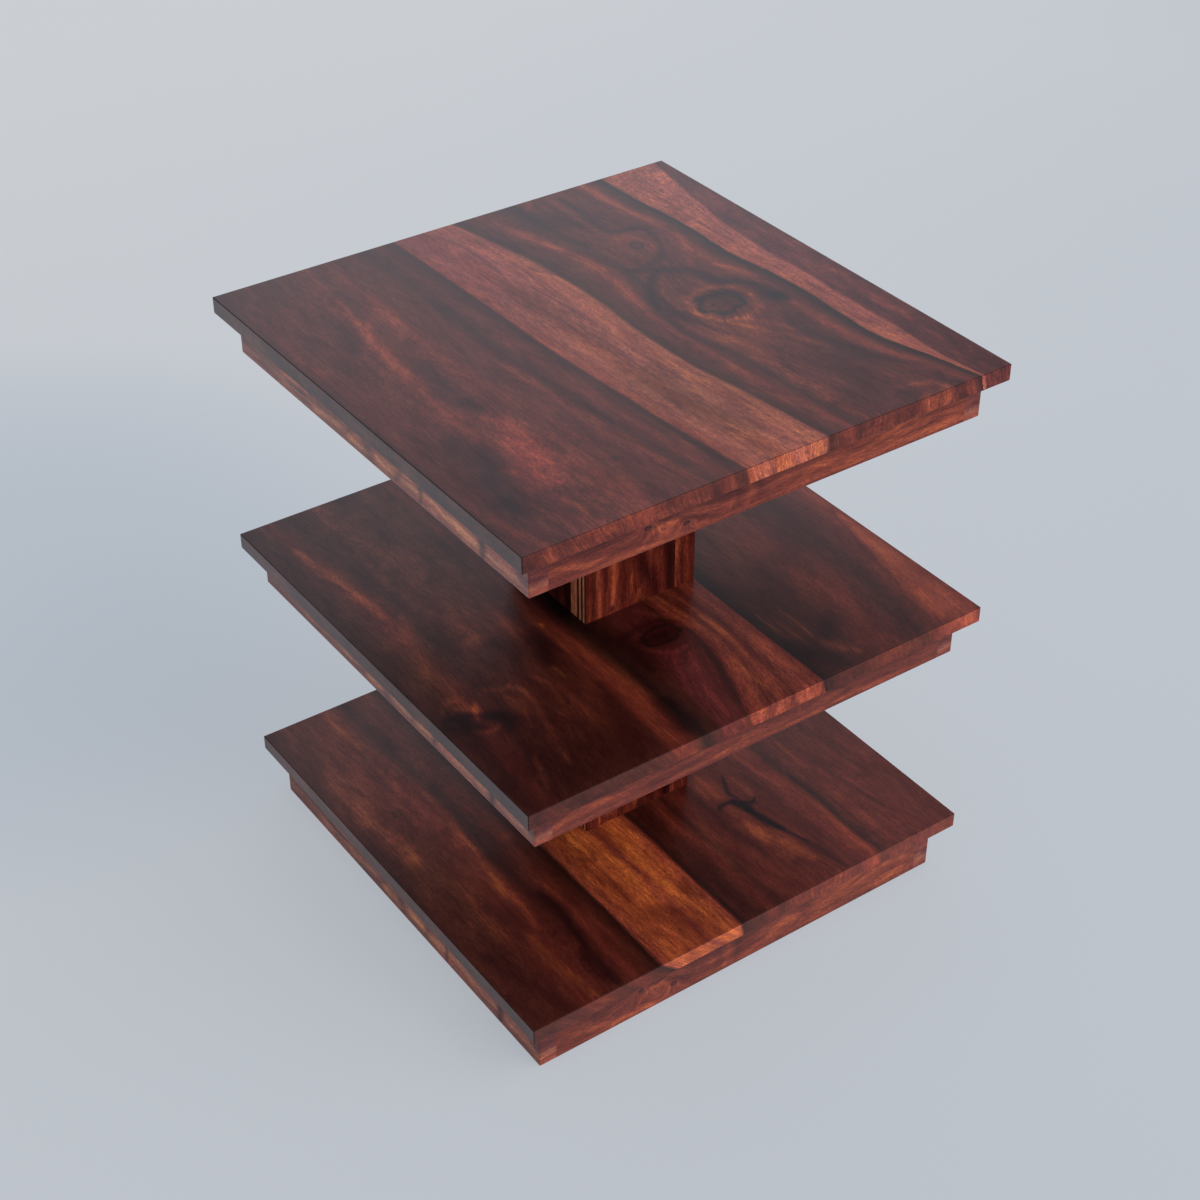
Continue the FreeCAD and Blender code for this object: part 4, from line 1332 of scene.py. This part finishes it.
# %% Drawing of the column boards
COLUMN_SPAN = 242
COLUMN_BOARD = {
    "length": 480,
    "lines": (
        (0, (-48, -48)),
        (40, (-2, -2)),
        (80, (34, 42, 36, 40, 46, 38)),
        (140, (104, 96, 92, 100, 108, 100)),
        (190, (156, 150, 158, 148, 142, 150)),
        (242, (202, 202)),
    ),
    "bands": (
        # The first layers show on a board's own edge, drawn pale tan as painted light.
        (0, PAINTED_LIGHT_TAN, 0.6), (8, SALMON, 0.6), (17, PAINTED_LIGHT_TAN, 0.5), (19.5, INK, 0.5), (23, UMBER, 0.5),
        (25, PAINTED_LIGHT_TAN, 0.5), (28.5, PAINTED_LIGHT_TAN, 0.5), (30, UMBER, 0.5), (33.5, INK, 0.5), (35, PAINTED_LIGHT_TAN, 0.5),
        (38, PAINTED_LIGHT_TAN, 0.5), (39.2, INK, 0.5), (41, RUSSET, 0.6), (46, CHESTNUT, 0.8), (52, RUSSET, 0.9),
        (60, CHESTNUT, 0.9), (72, BRICK, 0.9), (85, RUSSET, 0.9), (102, BRICK, 0.9),
        (120, RUSSET, 0.9), (140, RUSSET, 0.9), (158, CHESTNUT, 0.9), (180, CHESTNUT, 0.9),
        (205, RUSSET, 0.9), (220, CHESTNUT, 0.9), (242, UMBER, 0.9),
    ),
    "pushes": (),
    "knots": (),
    "strokes": (
        (0.8, 0.0, 5, ((32, 0), (30, 60), (24, 120), (30, 200))),
        (0.7, 0.0, 6, ((60, 20), (66, 80), (62, 140), (70, 220))),
        (0.9, 0.3, 4, ((104, 30), (103, 52), (106, 76))),
        (0.8, 0.1, 5, ((112, 4), (118, 20), (124, 32))),
        (0.8, 0.2, 5, ((150, 150), (142, 90), (150, 40))),
        (0.5, 0.0, 8, ((40, 280), (48, 360), (44, 440))),
        (0.5, 0.0, 8, ((120, 260), (112, 340), (120, 430))),
        (-0.9, 0.0, 14, ((160, 0), (150, 50), (130, 80), (120, 130))),
        (-0.9, 0.0, 10, ((190, 0), (186, 80), (172, 160))),
        (-0.6, 0.0, 7, ((84, 0), (88, 60), (84, 120), (90, 200))),
        (-0.6, 0.0, 6, ((46, 60), (44, 120), (50, 180))),
        (-1.2, 0.0, 5, ((60, 4), (58, 14))),
    ),
}
COLUMN_EASING = 1.0 * MM
COLUMN_SPACING = (2.4 * MM, 2.4 * MM, 3.6 * MM)
COLUMN_SHIFT = 0.71
OWN_EDGE = 2
COLUMN_SLANTS = {"front": 1.0, "right": -0.6, "back": 1.0, "left": 0.8}
# Painted light and shade on each board's own edge: paler on the front board's edge, which shows on the
# shaded left face, darker on the back and left boards' edges.
COLUMN_EDGE_PAINTED_LIGHT = {"front": 0.8, "right": 0.0, "back": -0.5, "left": -0.5}
column_material = rosewood(
    "rosewood_columns", COLUMN_BOARD["bands"], COLUMN_SPAN, curl=0.4, shine=1.12)
NEXT_SIDE = {"front": "left", "left": "back", "back": "right", "right": "front"}


def dress_column_board(storey, side, number):
    """One board of a column, whose grain stands upright, and whose own edge shows on the next side."""
    node = f"{storey}_column_{side}_board"
    across, down = FACING[side]
    eased = {side, NEXT_SIDE[side]}
    piece, points, turned = dress(node, COLUMN_EASING, eased, COLUMN_SPACING)
    local = own_directions(points, across, UP, down)
    on_own_edge = np.clip(1 - local[0] / OWN_EDGE, 0, 1)
    # Painted light, or painted shade where it is negative, on the board's own edge.
    painted_light = on_own_edge * COLUMN_EDGE_PAINTED_LIGHT[side]
    figure_board(
        piece, column_material, COLUMN_BOARD, local, turned,
        slant=COLUMN_SLANTS[side], painted_light=painted_light, other=number * COLUMN_SHIFT,
    )


for number, storey in enumerate(("upper", "lower")):
    for turn, side in enumerate(FACING):
        dress_column_board(storey, side, len(FACING) * number + turn)
print("boards in a column:", len(FACING))

# %% [markdown]
# ## Glue blocks and cleats
#
# Where nobody looks, the maker used plain pale hardwood, sawn and not oiled. The triangular corner
# blocks and the foot blocks keep the construction model's own shapes. The cleats at the head of a
# column get rounded edges like the other boards. The grain is read from Object coordinates.

# %% Plain hardwood
PALE = srgb(168, 132, 94)
DARKER = srgb(128, 92, 60)
PENCIL = srgb(92, 62, 40)
AXES = {"x": (0, 1, 2), "y": (1, 0, 2), "z": (2, 0, 1)}
YEAR_SIZE = (7, 90, 9)
FIBRE_SIZE = (0.8, 14, 0.8)
VESSEL_SIZE = (0.4, 3.0, 0.4)
SAW_SIZE = (30, 1.6, 30)
YEAR_FADE = (0.35, 0.65)
VESSEL_FADE = (0.60, 0.68)
VESSEL_DARK = 0.5
FIBRE_TONE = 0.9
SAW_TONE = 0.3
SAWN_ROUGHNESS = 0.72
FIBRE_ROUGHER = 0.2
FIBRE_RELIEF = 0.4
SAW_RELIEF = 0.6
VESSEL_RELIEF = 0.5
SAWN_BUMP = 0.5
SAWN_BUMP_DEPTH = 0.15 * MM


def plain_hardwood(direction):
    """Sawn hardwood whose grain runs along x, y or z."""
    material, wire, shader = new_material(f"plain_hardwood_along_{direction}")
    place = wire.node("ShaderNodeTexCoord", output=3).parts()
    along, across, depth = (place[axis] for axis in AXES[direction])
    grain = (across, along, depth)
    years = grain_noise(grain, YEAR_SIZE, detail=3.0, distortion=0.3)
    fibres = grain_noise(grain, FIBRE_SIZE)
    vessel = grain_noise(grain, VESSEL_SIZE, detail=1.0).step(*VESSEL_FADE)
    saw = grain_noise(grain, SAW_SIZE, detail=1.0)
    colour = years.step(*YEAR_FADE).mixed(PALE, DARKER)
    colour = (vessel * VESSEL_DARK).mixed(colour, PENCIL)
    gain = (fibres.swing(FIBRE_TONE) + saw.swing(SAW_TONE)).doubled()
    colour = colour.tinted(gain, gain, gain)
    roughness = SAWN_ROUGHNESS + fibres.swing(FIBRE_ROUGHER)
    height = fibres * FIBRE_RELIEF + saw * SAW_RELIEF - vessel * VESSEL_RELIEF
    set_surface(wire, shader, colour, roughness, height, SAWN_BUMP, SAWN_BUMP_DEPTH)
    return material


hardwood = {direction: plain_hardwood(direction) for direction in AXES}


def repaint(node, material):
    """A construction node keeps its shape and takes a better material."""
    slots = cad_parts[node].data.materials
    slots.clear()
    slots.append(material)


blocks = [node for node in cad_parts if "corner_block" in node or "foot_block" in node]
for node in blocks:
    repaint(node, hardwood["z"])
CLEAT_EASING = 0.8 * MM
CLEAT_SPACING = (4 * MM, 4 * MM, 4 * MM)
cleats = [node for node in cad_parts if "head_cleat" in node]
for node in cleats:
    runs_along_x = node.endswith(("front", "back"))
    ends = {"left", "right"} if runs_along_x else {"front", "back"}
    eased = ends | {"bottom", node.rsplit("_", 1)[1]}
    piece, _, _ = dress(node, CLEAT_EASING, eased, CLEAT_SPACING)
    piece.data.materials.append(hardwood["x" if runs_along_x else "y"])
print("blocks:", len(blocks), "cleats:", len(cleats))

# %% [markdown]
# ## The screws
#
# Four pan-head screws go up through a slab into each column's foot block, and two smaller ones
# through every cleat into the slab above. Only their heads show, from underneath. A screw is turned
# on a lathe, so here it is one outline turned round its axis: a low dome, a flat seat and a shank.
# The cross recess and the thread are pressed into that same surface, so both are real shape.

# %% A pan-head screw
HEAD_ROWS = 30
HEAD_POWER = 2.6
SHANK_ROWS = 110
SPOKES = 72
THREAD_PITCH = 2.0 * MM
THREAD_DEPTH = 0.5 * MM
TIP_LENGTH = 4 * MM
TIP_SHARE = 0.1
RECESS_WIDTH = 0.13
RECESS_WALL = 0.35 * RECESS_WIDTH
RECESS_REACH = 0.52
RECESS_SLOPE = 0.7 * RECESS_REACH
RECESS_DEPTH = 0.62


def screw_outline(radius, height, shank, length):
    """How far out and how high a screw's outline is, from the middle of its dome to its tip.

    The head is (r / R)^n + (h / H)^n = 1, and the shank narrows to its tip."""
    turn = np.linspace(0, np.pi / 2, HEAD_ROWS + 1)[1:]
    dome = radius * np.sin(turn) ** (2 / HEAD_POWER)
    rise = height * (1 - np.cos(turn) ** (2 / HEAD_POWER))
    along = np.linspace(height, length, SHANK_ROWS)
    taper = np.clip((length - along) / TIP_LENGTH, TIP_SHARE, 1)
    outline = np.concatenate([dome, shank * taper])[:, None]
    heights = np.concatenate([rise, along])[:, None]
    return outline, heights


def cross_recess(x, y, radius):
    """How deep the cross recess is, from 0 to 1: deepest where x or y is small, rising along its arms."""
    near_arm = np.minimum(np.abs(x), np.abs(y)) / radius
    along_arm = np.maximum(np.abs(x), np.abs(y)) / radius
    wall = np.clip((RECESS_WIDTH - near_arm) / RECESS_WALL, 0, 1)
    slope = np.clip((RECESS_REACH - along_arm) / RECESS_SLOPE, 0, 1)
    in_head = np.arange(len(x))[:, None] < HEAD_ROWS
    return wall * slope * in_head


def turned_faces(rows):
    """The faces of a surface turned round an axis, closed by two more points after its rows."""
    index = np.arange(rows * SPOKES).reshape(rows, SPOKES)
    beside = np.roll(index, -1, axis=1)
    sides = np.stack([index[:-1], beside[:-1], beside[1:], index[1:]], -1).reshape(-1, 4)
    first = np.full(SPOKES, rows * SPOKES)
    under = np.stack([first, beside[0], index[0]], -1)
    over = np.stack([first + 1, index[-1], beside[-1]], -1)
    return sides.tolist() + under.tolist() + over.tolist()


def screw(radius, height, shank, length):
    """The surface of one screw that stands on its head at the origin, and its recess and radius.

    The thread is a ridge where the height in pitches, less the angle in turns, is whole."""
    outline, heights = screw_outline(radius, height, shank, length)
    angle = np.linspace(0, 2 * np.pi, SPOKES, endpoint=False)[None, :]
    threaded = (heights > height + THREAD_PITCH) & (outline <= shank)
    wave = 0.5 - 0.5 * np.cos(2 * np.pi * heights / THREAD_PITCH - angle)
    around = outline - threaded * THREAD_DEPTH * wave**2 * (outline / shank)
    x = around * np.cos(angle)
    y = around * np.sin(angle)
    recess = cross_recess(x, y, radius)
    z = heights + RECESS_DEPTH * height * recess
    points = np.stack([x, y, z], -1).reshape(-1, 3)
    ends = np.array([(0, 0, RECESS_DEPTH * height), (0, 0, length)])
    pressed = np.append(recess.ravel(), (1, 0))
    turned = np.append(np.broadcast_to(outline, recess.shape).ravel(), (0, 0))
    return np.vstack([points, ends]), turned_faces(len(outline)), pressed, turned


ZINC = srgb(196, 198, 202)
DULL_ZINC = srgb(172, 172, 170)
RECESS_COLOUR = srgb(92, 86, 80)
RECESS_COLOUR_SHARE = 0.7
CLOUD_SCALE = 900.0
CLOUD_FADE = (0.35, 0.65)
TURNING_WIDTH = 0.12 * MM
ZINC_ROUGHNESS = 0.28
CLOUD_ROUGHER = 0.12
RING_ROUGHER = 0.08
RECESS_ROUGHER = 0.25
CLOUD_RELIEF = 0.5
ZINC_BUMP = 0.4
ZINC_BUMP_DEPTH = 0.02 * MM


def zinc_steel():
    """Bright zinc plating with fine rings from turning, and a darker, rougher recess."""
    material, wire, shader = new_material("zinc_steel")
    pressed, turned, _ = wire.attribute("turning")
    place = wire.node("ShaderNodeTexCoord", output=3)
    cloud = place.noise(Scale=CLOUD_SCALE, Detail=3.0)
    ring_place = wire.node("ShaderNodeCombineXYZ", None, {0: turned / TURNING_WIDTH})
    rings = ring_place.noise(Scale=1.0)
    plated = cloud.step(*CLOUD_FADE).mixed(ZINC, DULL_ZINC)
    colour = (pressed * RECESS_COLOUR_SHARE).mixed(plated, RECESS_COLOUR)
    shader.inputs["Metallic"].default_value = 1.0
    roughness = ZINC_ROUGHNESS + cloud * CLOUD_ROUGHER + rings * RING_ROUGHER + pressed * RECESS_ROUGHER
    height = rings + cloud * CLOUD_RELIEF
    set_surface(wire, shader, colour, roughness, height, ZINC_BUMP, ZINC_BUMP_DEPTH)
    return material


zinc = zinc_steel()
print("a screw has", SPOKES * (HEAD_ROWS + SHANK_ROWS), "points")

# %% Put the screws in
FOOT_SCREW_SPREAD = 25 * MM
FOOT_CORNERS = ((-1, -1), (1, -1), (1, 1), (-1, 1))
CLEAT_SCREW_SPREAD = 30 * MM
FOOT_HEAD = (4.5 * MM, 3.0 * MM, 2.25 * MM)
CLEAT_HEAD = (4.0 * MM, 2.5 * MM, 1.9 * MM)
CLEAT_SCREW_LENGTH = 32 * MM


def set_screws(name, feet, head, length):
    """Equal screws, one standing on its head at each place, as one piece."""
    points, faces, pressed, turned = screw(*head, length)
    every = np.concatenate([points + np.array(foot) for foot in feet])
    shifted = [
        [corner + len(points) * number for corner in face]
        for number in range(len(feet)) for face in faces
    ]
    piece = new_piece(name, every, shifted)
    smooth_with_sharp_corners(piece)
    pressed = np.tile(pressed, len(feet))
    turned = np.tile(turned, len(feet))
    set_attribute(piece.data, "turning", (pressed, turned, 0 * pressed))
    piece.data.materials.append(zinc)
    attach(piece, "root")
    return piece


for storey in ("lower", "upper"):
    node = f"{storey}_foot_screws"
    low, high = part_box(node)
    feet = [(x * FOOT_SCREW_SPREAD, y * FOOT_SCREW_SPREAD, low[2]) for x, y in FOOT_CORNERS]
    piece = set_screws(f"{node}_pan_head", feet, FOOT_HEAD, high[2] - low[2])
    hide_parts(node)
for node in cleats:
    low, high = (np.array(corner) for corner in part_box(node))
    middle = (low + high) / 2
    middle[2] = low[2] - CLEAT_HEAD[1]
    reach = np.array(RIGHT if node.endswith(("front", "back")) else BACK)
    feet = [middle - reach * CLEAT_SCREW_SPREAD, middle + reach * CLEAT_SCREW_SPREAD]
    set_screws(f"{node}_screws", feet, CLEAT_HEAD, CLEAT_SCREW_LENGTH)
print("screws in a column's foot:", len(FOOT_CORNERS), "and in a cleat:", len(feet))

# %% Close
low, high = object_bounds()
